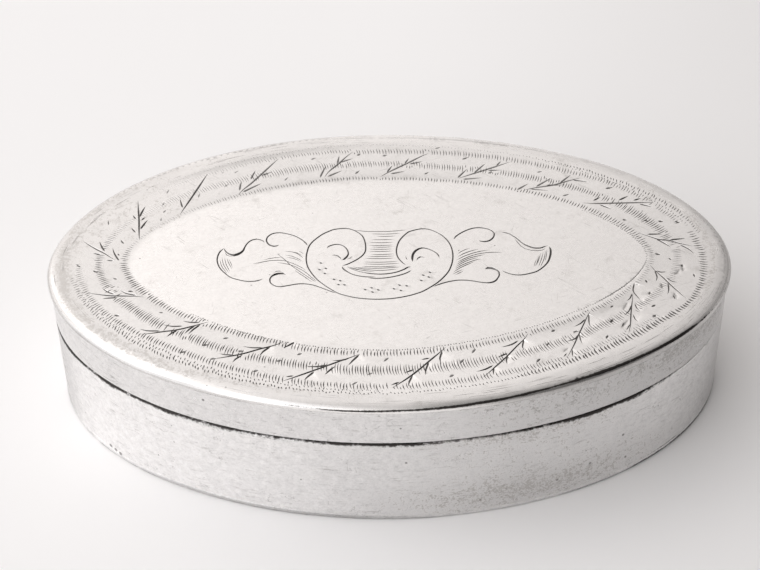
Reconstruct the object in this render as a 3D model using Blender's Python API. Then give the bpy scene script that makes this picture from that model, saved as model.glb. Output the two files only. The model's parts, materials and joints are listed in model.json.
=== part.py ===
"""An oval silver snuff box with a hinged lid, piece by piece and at its real size.

Metres, +Z up. The origin is the middle of the underside, +X runs along the box, and -Y is the
front. The hinge lies along the back, at the height of the seam between the body and the lid.
"""

import math

import bmesh
import bpy
from mathutils import Matrix, Vector

# The closed box, over the edge of its lid. The lid's height is from the seam to its top.
LENGTH = 0.082
WIDTH = 0.0504
HEIGHT = 0.0187
LID_HEIGHT = 0.006
# A power of 2 is a true ellipse, and a lower one has more pointed ends
OVAL_POWER = 1.94

# Sheet silver
WALL_THICKNESS = 0.0008
BASE_THICKNESS = 0.0007
PLATE_THICKNESS = 0.0009
BEZEL_THICKNESS = 0.0005

# Edges: the lid plate stands out past the walls, and its upper edge is rounded over
PLATE_OVERHANG = 0.0003
PLATE_EDGE_RADIUS = 0.0006
PLATE_LOWER_EDGE = 0.00012
BASE_EDGE_RADIUS = 0.0003

# The bezel is a strip inside the body wall that stands up into the lid
BEZEL_DEPTH = 0.004
BEZEL_RISE = 0.0018

# The hinge: tubes round a pin, let into the back, with a grooved bearer above and below
HINGE_LENGTH = 0.025
BARREL_DIAMETER = 0.002
PIN_DIAMETER = 0.0009
PIN_CLEARANCE = 0.0001
NOTCH_CLEARANCE = 0.0004
BEARER_WALL = 0.0008
CAP_THICKNESS = 0.0006
CAP_EDGE_RADIUS = 0.0002
KNUCKLES = 5

# The gap between pieces that rest on each other or are soldered together, and at the seam
SEAT_GAP = 0.0003
# How far a cutter reaches past what it cuts
OVERRUN = 0.002

# Facets
OVAL_SIDES = 96
BARREL_SIDES = 24
PIN_SIDES = 16
EDGE_STEPS = 4

# Worked out from the sizes above
SEAM_HEIGHT = HEIGHT - LID_HEIGHT
WALL_INSET = PLATE_OVERHANG
WALL_INNER_INSET = WALL_INSET + WALL_THICKNESS
BEZEL_INSET = WALL_INNER_INSET + SEAT_GAP
WALL_LOW = BASE_THICKNESS + SEAT_GAP
WALL_HIGH = SEAM_HEIGHT - SEAT_GAP / 2
RIM_LOW = SEAM_HEIGHT + SEAT_GAP / 2
PLATE_LOW = HEIGHT - PLATE_THICKNESS
RIM_HIGH = PLATE_LOW - SEAT_GAP
BARREL_RADIUS = BARREL_DIAMETER / 2
BORE_RADIUS = PIN_DIAMETER / 2 + PIN_CLEARANCE
GROOVE_RADIUS = BARREL_RADIUS + SEAT_GAP
BEARER_REACH = GROOVE_RADIUS + BEARER_WALL
KNUCKLES_LENGTH = HINGE_LENGTH - 2 * (CAP_THICKNESS + SEAT_GAP)
KNUCKLE_PITCH = (KNUCKLES_LENGTH + SEAT_GAP) / KNUCKLES
NOTCH_LENGTH = HINGE_LENGTH + 2 * SEAT_GAP
NOTCH_HALF_HEIGHT = BARREL_RADIUS + NOTCH_CLEARANCE
# The barrel is flush with the outside of the wall in the middle of the back
HINGE_AXIS = Vector((0, WIDTH / 2 - WALL_INSET - BARREL_RADIUS, SEAM_HEIGHT))

POLISHED_SILVER = (0.87, 0.86, 0.84)
WORN_SILVER = (0.80, 0.79, 0.77)
INNER_SILVER = (0.74, 0.73, 0.70)
STEEL = (0.55, 0.55, 0.56)


def clear_scene():
    for thing in list(bpy.data.objects):
        bpy.data.objects.remove(thing)


def metal(name, colour, roughness):
    material = bpy.data.materials.new(name)
    material.use_nodes = True
    shader = material.node_tree.nodes["Principled BSDF"]
    shader.inputs["Base Color"].default_value = (*colour, 1)
    shader.inputs["Metallic"].default_value = 1
    shader.inputs["Roughness"].default_value = roughness
    return material


def add_object(name, bm, material=None, smooth_angle=math.radians(30)):
    """Makes an object of the bmesh, with its round faces shaded smooth."""
    mesh = bpy.data.meshes.new(name)
    bm.to_mesh(mesh)
    bm.free()
    mesh.shade_smooth()
    mesh.set_sharp_from_angle(angle=smooth_angle)
    thing = bpy.data.objects.new(name, mesh)
    bpy.context.scene.collection.objects.link(thing)
    if material:
        mesh.materials.append(material)
    return thing


def put(thing, place, parent=None):
    """Places a thing at a point of the world, under its parent if it has one."""
    thing.parent = parent
    thing.location = Vector(place) - (parent.location if parent else Vector())


def as_cutter(thing):
    thing.hide_render = True
    thing.display_type = "WIRE"
    return thing


def cut(thing, cutter, operation="DIFFERENCE"):
    boolean = thing.modifiers.new(cutter.name, "BOOLEAN")
    boolean.operation = operation
    boolean.solver = "EXACT"
    boolean.object = cutter


def signed_power(value, power):
    return math.copysign(abs(value) ** power, value)


def oval_point(turn, inset):
    """A point of the lid's outline, moved inwards along its normal by the inset."""
    half_length = LENGTH / 2
    half_width = WIDTH / 2
    x = half_length * signed_power(math.cos(turn), 2 / OVAL_POWER)
    y = half_width * signed_power(math.sin(turn), 2 / OVAL_POWER)
    normal = Vector(
        (
            signed_power(x / half_length, OVAL_POWER - 1) / half_length,
            signed_power(y / half_width, OVAL_POWER - 1) / half_width,
        )
    ).normalized()
    return x - inset * normal.x, y - inset * normal.y


def oval_loop(bm, inset):
    """A closed loop of edges on the floor of the bmesh. Returns its edges."""
    turns = [2 * math.pi * step / OVAL_SIDES for step in range(OVAL_SIDES)]
    points = [bm.verts.new((*oval_point(turn, inset), 0)) for turn in turns]
    return [bm.edges.new((points[i - 1], points[i])) for i in range(OVAL_SIDES)]


def raise_faces(bm, height):
    """Extrudes all faces of a flat bmesh upwards into a solid."""
    grown = bmesh.ops.extrude_face_region(bm, geom=bm.faces[:], use_keep_orig=True)
    top = [part for part in grown["geom"] if isinstance(part, bmesh.types.BMVert)]
    bmesh.ops.translate(bm, verts=top, vec=(0, 0, height))
    bmesh.ops.recalc_face_normals(bm, faces=bm.faces)


def oval_plate(inset, height):
    bm = bmesh.new()
    bmesh.ops.contextual_create(bm, geom=oval_loop(bm, inset))
    raise_faces(bm, height)
    return bm


def oval_strip(inset, thickness, height):
    """A strip of sheet bent round into an oval and standing on its edge."""
    bm = bmesh.new()
    loops = oval_loop(bm, inset) + oval_loop(bm, inset + thickness)
    bmesh.ops.bridge_loops(bm, edges=loops)
    raise_faces(bm, height)
    return bm


def round_edge(bm, height, radius, steps):
    """Rounds the edges that run round the solid at the given height."""
    tolerance = radius / 100
    level = [
        edge
        for edge in bm.edges
        if all(abs(vert.co.z - height) < tolerance for vert in edge.verts)
    ]
    bmesh.ops.bevel(
        bm, geom=level, offset=radius, segments=steps, profile=0.5, affect="EDGES"
    )


def round_bar(radius, length, sides):
    """A round bar along X, centred on the origin."""
    bm = bmesh.new()
    bmesh.ops.create_cone(
        bm,
        cap_ends=True,
        segments=sides,
        radius1=radius,
        radius2=radius,
        depth=length,
        matrix=Matrix.Rotation(math.radians(90), 4, "Y"),
    )
    return bm


def block(low, high):
    """A box between two corners."""
    bm = bmesh.new()
    low = Vector(low)
    size = Vector(high) - low
    bmesh.ops.create_cube(bm, size=1)
    for vert in bm.verts:
        vert.co = low + Vector(
            [length * (unit + 0.5) for length, unit in zip(size, vert.co)]
        )
    return bm


def make_notch_cutter():
    """A bar-shaped room for the hinge, cut through the wall and the rim at the back."""
    bm = block(
        (-NOTCH_LENGTH / 2, -BEARER_REACH, -NOTCH_HALF_HEIGHT),
        (NOTCH_LENGTH / 2, BARREL_RADIUS + OVERRUN, NOTCH_HALF_HEIGHT),
    )
    cutter = as_cutter(add_object("hinge_notch", bm))
    put(cutter, HINGE_AXIS)
    return cutter


def make_base_plate():
    bm = oval_plate(WALL_INSET, BASE_THICKNESS)
    round_edge(bm, 0, BASE_EDGE_RADIUS, EDGE_STEPS)
    add_object("base_plate", bm, metal("base_silver", WORN_SILVER, 0.38))


def make_body_wall(notch):
    bm = oval_strip(WALL_INSET, WALL_THICKNESS, WALL_HIGH - WALL_LOW)
    wall = add_object("body_wall", bm, metal("wall_silver", WORN_SILVER, 0.32))
    put(wall, (0, 0, WALL_LOW))
    cut(wall, notch)


def make_body_bezel():
    """The bezel is left open at the back, where the hinge and its bearers lie."""
    low = SEAM_HEIGHT - BEZEL_DEPTH
    bm = oval_strip(BEZEL_INSET, BEZEL_THICKNESS, BEZEL_DEPTH + BEZEL_RISE)
    bezel = add_object("body_bezel", bm, metal("bezel_silver", INNER_SILVER, 0.3))
    put(bezel, (0, 0, low))
    opening = block(
        (-NOTCH_LENGTH / 2, 0, -OVERRUN),
        (NOTCH_LENGTH / 2, WIDTH, BEZEL_DEPTH + BEZEL_RISE + OVERRUN),
    )
    cutter = as_cutter(add_object("bezel_opening", opening))
    put(cutter, (0, 0, low))
    cut(bezel, cutter)


def make_lid_rim(notch, pivot):
    bm = oval_strip(WALL_INSET, WALL_THICKNESS, RIM_HIGH - RIM_LOW)
    rim = add_object("lid_rim", bm, metal("rim_silver", WORN_SILVER, 0.3))
    put(rim, (0, 0, RIM_LOW), pivot)
    cut(rim, notch)


def make_lid_plate(pivot):
    bm = oval_plate(0, PLATE_THICKNESS)
    round_edge(bm, PLATE_THICKNESS, PLATE_EDGE_RADIUS, EDGE_STEPS)
    round_edge(bm, 0, PLATE_LOWER_EDGE, 1)
    plate = add_object("lid_plate", bm, metal("plate_silver", POLISHED_SILVER, 0.28))
    put(plate, (0, 0, PLATE_LOW), pivot)


def make_bearers(pivot):
    """Grooved bars inside the wall and inside the rim, in which the hinge tubes lie.

    Each is a block cut to the inner face of the wall, with a groove round the barrel.
    """
    inside = as_cutter(
        add_object(
            "inside_of_walls",
            oval_plate(WALL_INNER_INSET + SEAT_GAP, HEIGHT),
        )
    )
    groove = as_cutter(
        add_object(
            "barrel_groove",
            round_bar(GROOVE_RADIUS, HINGE_LENGTH + 2 * OVERRUN, BARREL_SIDES),
        )
    )
    put(groove, HINGE_AXIS)
    levels = {
        "body_hinge_bearer": (-BEARER_REACH, -SEAT_GAP / 2, None),
        "lid_hinge_bearer": (SEAT_GAP / 2, BEARER_REACH, pivot),
    }
    for name, (low, high, parent) in levels.items():
        bm = block(
            (-HINGE_LENGTH / 2, -BEARER_REACH, low),
            (HINGE_LENGTH / 2, BARREL_RADIUS, high),
        )
        bearer = add_object(name, bm, metal(name + "_silver", INNER_SILVER, 0.35))
        put(bearer, HINGE_AXIS, parent)
        cut(bearer, inside, "INTERSECT")
        cut(bearer, groove)


def make_knuckles(pivot):
    """Hinge tubes, the outer ones and every second one soldered to the body."""
    bore = as_cutter(
        add_object(
            "hinge_bore",
            round_bar(BORE_RADIUS, HINGE_LENGTH + 2 * OVERRUN, BARREL_SIDES),
        )
    )
    put(bore, HINGE_AXIS)
    for index in range(KNUCKLES):
        on_body = index % 2 == 0
        name = f"{'body' if on_body else 'lid'}_knuckle_{index // 2 + 1}"
        bm = round_bar(BARREL_RADIUS, KNUCKLE_PITCH - SEAT_GAP, BARREL_SIDES)
        knuckle = add_object(name, bm, metal(name + "_silver", WORN_SILVER, 0.3))
        along = Vector(((index - (KNUCKLES - 1) / 2) * KNUCKLE_PITCH, 0, 0))
        put(knuckle, HINGE_AXIS + along, None if on_body else pivot)
        cut(knuckle, bore)


def make_pin():
    bm = round_bar(PIN_DIAMETER / 2, KNUCKLES_LENGTH, PIN_SIDES)
    pin = add_object("hinge_pin", bm, metal("pin_steel", STEEL, 0.35))
    put(pin, HINGE_AXIS)


def make_caps():
    """A small disc closes each end of the hinge and keeps the pin in."""
    for name, side in (("hinge_cap_left", -1), ("hinge_cap_right", 1)):
        bm = round_bar(BARREL_RADIUS, CAP_THICKNESS, BARREL_SIDES)
        face = side * CAP_THICKNESS / 2
        outer = [
            edge
            for edge in bm.edges
            if all(abs(vert.co.x - face) < CAP_EDGE_RADIUS for vert in edge.verts)
        ]
        bmesh.ops.bevel(
            bm, geom=outer, offset=CAP_EDGE_RADIUS, segments=2, profile=0.5, affect="EDGES"
        )
        cap = add_object(name, bm, metal(name + "_silver", WORN_SILVER, 0.3))
        out = Vector((side * (HINGE_LENGTH - CAP_THICKNESS) / 2, 0, 0))
        put(cap, HINGE_AXIS + out)


def main():
    clear_scene()
    pivot = bpy.data.objects.new("lid_pivot", None)
    bpy.context.scene.collection.objects.link(pivot)
    put(pivot, HINGE_AXIS)
    notch = make_notch_cutter()
    make_base_plate()
    make_body_wall(notch)
    make_body_bezel()
    make_lid_rim(notch, pivot)
    make_lid_plate(pivot)
    make_bearers(pivot)
    make_knuckles(pivot)
    make_pin()
    make_caps()


main()
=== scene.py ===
import json
import math

import bmesh
import bpy
import numpy as np
from mathutils import Matrix, Vector, geometry, kdtree, noise


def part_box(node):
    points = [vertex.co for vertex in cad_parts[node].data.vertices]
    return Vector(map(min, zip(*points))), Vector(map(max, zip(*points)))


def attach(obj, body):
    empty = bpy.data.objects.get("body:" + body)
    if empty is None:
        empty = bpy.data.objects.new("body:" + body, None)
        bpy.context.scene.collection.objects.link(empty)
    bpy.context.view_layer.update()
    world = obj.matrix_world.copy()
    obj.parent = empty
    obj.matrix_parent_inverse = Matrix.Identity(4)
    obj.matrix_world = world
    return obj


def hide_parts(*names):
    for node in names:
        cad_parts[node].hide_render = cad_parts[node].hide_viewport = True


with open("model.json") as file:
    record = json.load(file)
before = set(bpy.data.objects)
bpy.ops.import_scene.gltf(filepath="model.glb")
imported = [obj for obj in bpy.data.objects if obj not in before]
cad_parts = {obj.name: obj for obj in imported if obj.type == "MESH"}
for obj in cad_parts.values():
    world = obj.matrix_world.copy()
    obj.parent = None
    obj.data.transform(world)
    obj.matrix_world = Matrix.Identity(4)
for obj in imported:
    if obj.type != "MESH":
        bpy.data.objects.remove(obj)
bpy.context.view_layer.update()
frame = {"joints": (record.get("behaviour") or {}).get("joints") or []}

# ---------------------------------------------------------------- sizes, in metres
MM = 0.001
plate_low, plate_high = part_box("lid_plate")
_, wall_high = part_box("body_wall")
_, base_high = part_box("base_plate")
bezel_low, bezel_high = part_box("body_bezel")
pin_low, pin_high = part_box("hinge_pin")
_, cap_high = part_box("hinge_cap_right")
knuckle_low, knuckle_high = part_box("body_knuckle_2")

HALF_LENGTH = plate_high.x
HALF_WIDTH = plate_high.y
TOP = plate_high.z
PLATE_LOW = plate_low.z
OVAL_POWER = 1.94
WALL_INSET = HALF_LENGTH - wall_high.x
WALL_THICKNESS = 0.8 * MM
WALL_INSIDE = WALL_INSET + WALL_THICKNESS
BEZEL_INSET = HALF_LENGTH - bezel_high.x
BEZEL_INSIDE = BEZEL_INSET + 0.5 * MM
SEAM = frame["joints"][0]["pos_m"][2]
SEAM_GAP = 0.12 * MM
RIM_FOOT = SEAM + SEAM_GAP / 2
RIM_HEIGHT = PLATE_LOW - RIM_FOOT
WALL_TOP = SEAM - SEAM_GAP / 2
WALL_FOOT = base_high.z + 0.03 * MM
SMALL_EDGE = 0.1 * MM
HINGE_AXIS = Vector(frame["joints"][0]["pos_m"])
BARREL_RADIUS = (knuckle_high.z - knuckle_low.z) / 2
PIN_RADIUS = (pin_high.z - pin_low.z) / 2
NOTCH_HALF = cap_high.x + 0.3 * MM

# The lid plate's rounded edge begins at a turn from straight up, at a ring on the top
SIDES = 480
EDGE_RADIUS = 0.65 * MM
EDGE_START = math.radians(11)
EDGE_STEPS = 8
RING_INSET = EDGE_RADIUS * (1 - math.sin(EDGE_START))
LEVEL_STEP = 0.11
ROLL_WIDTH = 2.3 * MM
ROLL_BEND = 0.054 / MM
LINE_HALF = 0.16
NET_STEP = 0.9


# ---------------------------------------------------------------- the oval
def signed_power(value, power):
    return np.sign(value) * np.abs(value) ** power


def oval(turn, inset):
    """Points of the lid's outline, moved inwards by the inset. Arrays work too."""
    x = HALF_LENGTH * signed_power(np.cos(turn), 2 / OVAL_POWER)
    y = HALF_WIDTH * signed_power(np.sin(turn), 2 / OVAL_POWER)
    nx = signed_power(x / HALF_LENGTH, OVAL_POWER - 1) / HALF_LENGTH
    ny = signed_power(y / HALF_WIDTH, OVAL_POWER - 1) / HALF_WIDTH
    size = np.hypot(nx, ny)
    return x - inset * nx / size, y - inset * ny / size


def lengths_along(x, y):
    return np.concatenate([[0], np.cumsum(np.hypot(np.diff(x), np.diff(y)))])


FINE_TURNS = np.linspace(0, 2 * math.pi, 8001)
fine_x, fine_y = oval(FINE_TURNS, 0)
FINE_ARC = lengths_along(fine_x, fine_y)
PERIMETER = FINE_ARC[-1]
PERIMETER_MM = PERIMETER / MM


def turn_at(arc):
    """The turn of the outline's point at a distance along it, from the right round by the back."""
    return np.interp(np.mod(arc, PERIMETER), FINE_ARC, FINE_TURNS)


ARCS = np.arange(SIDES) * PERIMETER / SIDES
TURNS = turn_at(ARCS)


def border_points(points):
    """Points given along the edge and inwards from it, in mm, as x and y in mm."""
    s, d = np.array([point[:2] for point in points]).T
    x, y = oval(turn_at(s * MM), d * MM)
    return np.stack([x, y], 1) / MM


def edge_place(x, y):
    """How far along the edge a point of the lid is, from its place in mm."""
    turn = math.atan2(y / (HALF_WIDTH / MM), x / (HALF_LENGTH / MM)) % (2 * math.pi)
    return float(np.interp(turn, FINE_TURNS, FINE_ARC))


def oval_size(x, y):
    """Below 1 inside the outline, for a place in mm."""
    return abs(x * MM / HALF_LENGTH) ** OVAL_POWER + abs(y * MM / HALF_WIDTH) ** OVAL_POWER


def border_depth(x, y):
    """Roughly how far a point of the lid is from its edge, in mm."""
    size = oval_size(x, y) ** (1 / OVAL_POWER)
    if size < 1e-6:
        return HALF_WIDTH / MM
    ex, ey = x / size, y / size
    nx = abs(ex * MM / HALF_LENGTH) ** (OVAL_POWER - 1) / HALF_LENGTH
    ny = abs(ey * MM / HALF_WIDTH) ** (OVAL_POWER - 1) / HALF_WIDTH
    n = math.hypot(nx, ny)
    return abs((abs(ex) - abs(x)) * nx / n + (abs(ey) - abs(y)) * ny / n)


# ---------------------------------------------------------------- values that change by place
def rise(value, start, run):
    """From 0 at the start to 1 a run further on. A run below 0 makes it fall."""
    return min(1.0, max(0.0, (value - start) / run))


def near(value, centre, reach):
    """1 at the centre, down to 0 at the reach."""
    return max(0.0, 1 - abs(value - centre) / reach)


def spot(arc, centre, reach, gain=1):
    """1 at a place along the edge, down to 0 at its reach, in mm. A gain makes its top flat."""
    away = abs((arc / MM - centre + PERIMETER_MM / 2) % PERIMETER_MM - PERIMETER_MM / 2)
    share = max(0.0, 1 - away / reach)
    return min(1, gain * (share * share * (3 - 2 * share)))


def value_at(arc, table, column=1):
    """A value between the rows of a table whose first column is the place along the edge."""
    places = [row[0] for row in table]
    values = [row[column] for row in table]
    return float(np.interp(arc / MM, places, values, period=PERIMETER_MM))


def ruffle(x, y, z, size, seed):
    """Smooth noise from -1 to 1 with features of a given size."""
    return noise.noise(Vector((x / size + seed, y / size - seed, z / size + 2 * seed)))


def bulge(arcs):
    """How far the lid's edge stands out past the true oval, in mm."""
    return 0.2 * np.array([spot(arc, 78, 22) for arc in arcs])


# ---------------------------------------------------------------- node helpers
def is_socket(value):
    return isinstance(value, bpy.types.NodeSocket)


class Graph:
    """A short way to write node trees."""

    def __init__(self, owner):
        owner.use_nodes = True
        self.tree = owner.node_tree
        self.tree.nodes.clear()

    def add(self, kind, inputs=None, **settings):
        made = self.tree.nodes.new("ShaderNode" + kind)
        for key, value in settings.items():
            setattr(made, key, value)
        for key, value in (inputs or {}).items():
            if is_socket(value):
                self.tree.links.new(value, made.inputs[key])
            else:
                made.inputs[key].default_value = value
        return made

    def math(self, operation, first, *others):
        """The operation on the first two values, then on its result and the third, and so on."""
        for other in others:
            first = self.add("Math", {0: first, 1: other}, operation=operation).outputs[0]
        return first

    def times(self, *values):
        return self.math("MULTIPLY", *values)

    def plus(self, *values):
        return self.math("ADD", *values)

    def minus(self, *values):
        return self.math("SUBTRACT", *values)

    def larger(self, *values):
        return self.math("MAXIMUM", *values)

    def size(self, value):
        return self.add("Math", {0: value}, operation="ABSOLUTE").outputs[0]

    def ramp(self, value, low, high, out_low=0.0, out_high=1.0):
        inputs = {0: value, 1: low, 2: high, 3: out_low, 4: out_high}
        return self.add("MapRange", inputs, interpolation_type="SMOOTHSTEP").outputs[0]

    def mix(self, share, first, second, blend="MIX"):
        colours = {6: first, 7: second}
        for key, value in colours.items():
            colours[key] = value if is_socket(value) else (*value, 1)
        return self.add("Mix", {0: share, **colours}, data_type="RGBA", blend_type=blend).outputs[2]

    def place(self, scale=(1, 1, 1), turn=(0, 0, 0)):
        """Object coordinates in mm, turned and stretched."""
        where = self.add("TexCoord").outputs["Object"]
        inputs = {"Vector": where, "Rotation": turn, "Scale": [MM / s for s in scale]}
        return self.add("Mapping", inputs, vector_type="TEXTURE").outputs[0]

    def noise(self, vector, scale, detail=2.0, roughness=0.5, output="Fac"):
        inputs = {"Vector": vector, "Scale": scale, "Detail": detail, "Roughness": roughness}
        return self.add("TexNoise", inputs).outputs[output]

    def attribute(self, name):
        return self.add("Attribute", attribute_name=name).outputs["Fac"]

    def surface(self, inputs, output="OutputMaterial", kind="BsdfPrincipled"):
        self.add(output, {"Surface": self.add(kind, inputs).outputs[0]})


PALE_SILVER = (0.95, 0.94, 0.92)
RUBBED_AND_SHEEN_SILVER = (0.96, 0.95, 0.935)
DIRT_AND_SHADE = (0.036, 0.032, 0.03)
CUT_DIRT_AND_SHADE = (0.05, 0.044, 0.04)
# The directions of the hair scratches, and how dense each is
SCRATCHES = ((0.35, 0.1, 1.1), (-0.8, -0.25, 0.9), (1.45, 0.3, 1.3), (2.5, 0.0, 0.8))


def silver(name, colour, tarnish, roughness, clouding, mottling, speckle, scratching, marks=()):
    """Old silver: clouds, mottled tarnish, grain, scratches, pits, and grime, painted shade and
    painted sheen where they are given.
    """
    material = bpy.data.materials.new(name)
    g = Graph(material)
    where = g.place()
    clouds = g.noise(where, 0.24, 4, 0.6)
    mottles = g.noise(where, 1.25, 6, 0.74)
    grain = g.noise(where, 4.2, 4, 0.62)

    def part(value, amount):
        return g.times(g.minus(value, 0.5), amount)

    def tarnished(share, darkening):
        return g.mix(share, base, [c * darkening for c in tarnish])

    def broken(value, *parts):
        """A painted value with an edge that noise breaks up."""
        return g.plus(value, g.times(g.plus(*parts), g.ramp(value, 0, 0.3)))

    shade = g.plus(part(clouds, clouding), part(mottles, mottling), part(grain, speckle))
    base = g.mix(1.0, colour, g.plus(shade, 1.0), "MULTIPLY")
    streaks = g.noise(g.place((0.16, 0.16, 1.0)), 2.6, 5, 0.68)
    base = g.mix(g.ramp(streaks, 0.55, 0.78, 0, speckle * 1.7), base, tarnish)

    # Hair scratches are the level lines of stretched noise, broken up
    lines = []
    for turn, tilt, scale in SCRATCHES:
        sheet = g.noise(g.place((0.07, 1, 1), (tilt, tilt / 2, turn)), scale, 2)
        line = g.ramp(g.size(g.minus(sheet, 0.5)), 0, 0.014, 1, 0)
        kept = g.noise(g.place((0.5, 1, 1), (tilt, 0, turn)), 0.45 + scale / 5, 1)
        lines.append(g.times(line, g.ramp(kept, 0.55, 0.66)))
    scratches = g.larger(*lines)
    pale = g.ramp(g.noise(where, 0.3, 1), 0.46, 0.54)
    base = g.mix(g.times(scratches, pale, scratching), base, PALE_SILVER)
    base = tarnished(g.times(scratches, g.minus(1.0, pale), scratching), 0.6)

    # Pits, in some of the cells only
    bent = g.mix(0.12, where, g.noise(where, 3, output="Color"))
    cells = g.add("TexVoronoi", {"Vector": bent, "Scale": 0.5}).outputs
    chosen = g.ramp(g.add("SeparateColor", {0: cells["Color"]}).outputs[0], 0.72, 0.76)
    pits = g.times(g.ramp(cells["Distance"], 0.03, 0.075, 1, 0), chosen)
    base = tarnished(g.times(pits, 0.45), 0.35)

    for *centre, reach in marks:
        away = g.add("VectorMath", {0: where, 1: centre}, operation="DISTANCE").outputs["Value"]
        base = tarnished(g.ramp(away, reach * 0.4, reach, 0.8, 0), 0.4)

    # Painted shade darkens by place; rubbed places and painted facet highlights go lighter; then
    # tarnish, and dirt and painted shade with broken edges, then the cuts
    base = g.mix(1.0, base, g.minus(1.0, g.attribute("tone")), "MULTIPLY")
    worn = g.attribute("worn")
    base = g.mix(g.times(worn, 0.55), base, RUBBED_AND_SHEEN_SILVER)
    stain = g.ramp(broken(g.attribute("stain"), part(mottles, 1.7), part(grain, 1.7)), 0.28, 0.66)
    base = g.mix(g.times(stain, 0.62), base, tarnish)
    blots, hairs = g.noise(where, 2.2, 4, 0.7), g.noise(g.place((0.22, 0.22, 1.1)), 0.8, 3, 0.6)
    dirt = g.ramp(broken(g.attribute("dirt"), part(blots, 1.1), part(hairs, 1.3)), 0.3, 0.8)
    base = g.mix(g.times(dirt, 0.98), base, DIRT_AND_SHADE)
    # Grime in the cuts, and painted shade on the petal cuts
    base = g.mix(g.ramp(g.attribute("cut"), 0.0, 0.2, 0, 0.9), base, CUT_DIRT_AND_SHADE)

    rough = g.ramp(clouds, 0.3, 0.7, roughness - 0.03, roughness + 0.05)
    rough = g.plus(rough, g.times(g.larger(dirt, stain), 0.15))
    rough = g.times(rough, g.ramp(worn, 0, 1, 1, 0.55))
    height = g.minus(g.plus(g.times(grain, 0.35), g.times(scratches, -0.3)), g.times(pits, 0.8))
    height = g.times(height, g.minus(1.0, worn))
    bump = g.add("Bump", {"Strength": 0.3, "Distance": 0.012 * MM, "Height": height}).outputs[0]
    g.surface({"Base Color": base, "Metallic": 1.0, "Roughness": rough, "Normal": bump})
    return material


# ---------------------------------------------------------------- mesh helpers
def add_object(name, data):
    thing = bpy.data.objects.new(name, data)
    bpy.context.scene.collection.objects.link(thing)
    return thing


def add_mesh(name, vertices, faces, material, sharp_angle=30, attributes=None):
    mesh = bpy.data.meshes.new(name)
    mesh.from_pydata([tuple(v) for v in vertices], [], faces)
    for key, values in (attributes or {}).items():
        layer = mesh.attributes.new(key, "FLOAT", "POINT")
        layer.data.foreach_set("value", np.asarray(values, np.float32))
    mesh.validate()
    mesh.shade_smooth()
    mesh.set_sharp_from_angle(angle=math.radians(sharp_angle))
    mesh.materials.append(material)
    return add_object(name, mesh)


def stands_for(thing, body, node):
    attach(thing, body)
    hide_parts(node)


def block(name, low, high, cuts=0, place=None):
    """A block, or with a place function one whose points are moved. Cuts divide it along X."""
    bm = bmesh.new()
    bmesh.ops.create_cube(bm, size=1)
    if cuts:
        along = [e for e in bm.edges if abs(e.verts[0].co.x - e.verts[1].co.x) > 0.5]
        bmesh.ops.subdivide_edges(bm, edges=along, cuts=cuts)
    for vert in bm.verts:
        at = [a + (b - a) * (u + 0.5) for a, b, u in zip(low, high, vert.co)]
        vert.co = place(at, *vert.co) if place else at
    mesh = bpy.data.meshes.new(name)
    bm.to_mesh(mesh)
    bm.free()
    return add_object(name, mesh)


def carve(thing, cutter):
    """Cuts a piece with another object, which is then removed."""
    boolean = thing.modifiers.new(cutter.name, "BOOLEAN")
    boolean.operation = "DIFFERENCE"
    boolean.solver = "EXACT"
    boolean.object = cutter
    depsgraph = bpy.context.evaluated_depsgraph_get()
    mesh = bpy.data.meshes.new_from_object(thing.evaluated_get(depsgraph))
    thing.modifiers.clear()
    thing.data = mesh
    mesh.shade_smooth()
    mesh.set_sharp_from_angle(angle=math.radians(30))
    bpy.data.objects.remove(cutter)


def loop(number, sides=SIDES):
    """The vertex numbers of one ring of a piece made of equal rings."""
    return list(range(number * sides, (number + 1) * sides))


def band(first, second):
    """The faces between two rings."""
    return list(zip(first, first[1:] + first[:1], second[1:] + second[:1], second))


def sweep(name, rows, material, dents=0.0, attributes=None):
    """A strip round the oval, closed across. Each row is an inset and a height, or arrays of them.

    dents moves the surface in and out a little. attributes maps a name to a function of
    arc and height, for the outside.
    """
    vertices, painted = [], {key: [] for key in attributes or {}}
    for inset, height in rows:
        inset = np.broadcast_to(inset, SIDES)
        height = np.broadcast_to(height, SIDES)
        places = zip(*oval(TURNS, 0), height)
        wobble = np.array([dents * ruffle(*place, 9 * MM, 3.7) for place in places])
        vertices += list(zip(*oval(TURNS, inset + np.abs(wobble)), height))
        outside = inset[0] < WALL_INSET + 0.6 * WALL_THICKNESS
        for key, paint in (attributes or {}).items():
            painted[key] += [paint(a, h) if outside else 0.0 for a, h in zip(ARCS, height)]
    faces = []
    for row in range(len(rows)):
        faces += band(loop(row), loop((row + 1) % len(rows)))
    return add_mesh(name, vertices, faces, material, attributes=painted)


def arc_rows(inset, height, radius, start, end, steps):
    """Rows round an edge: an arc about a centre, angles from outwards towards up."""
    rows = []
    for step in range(steps + 1):
        angle = math.radians(start + (end - start) * step / steps)
        rows.append((inset - radius * math.cos(angle), height + radius * math.sin(angle)))
    return rows


def make_tree(points):
    tree = kdtree.KDTree(len(points))
    for i, (x, y) in enumerate(points):
        tree.insert((x, y, 0), i)
    tree.balance()
    return tree


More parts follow.
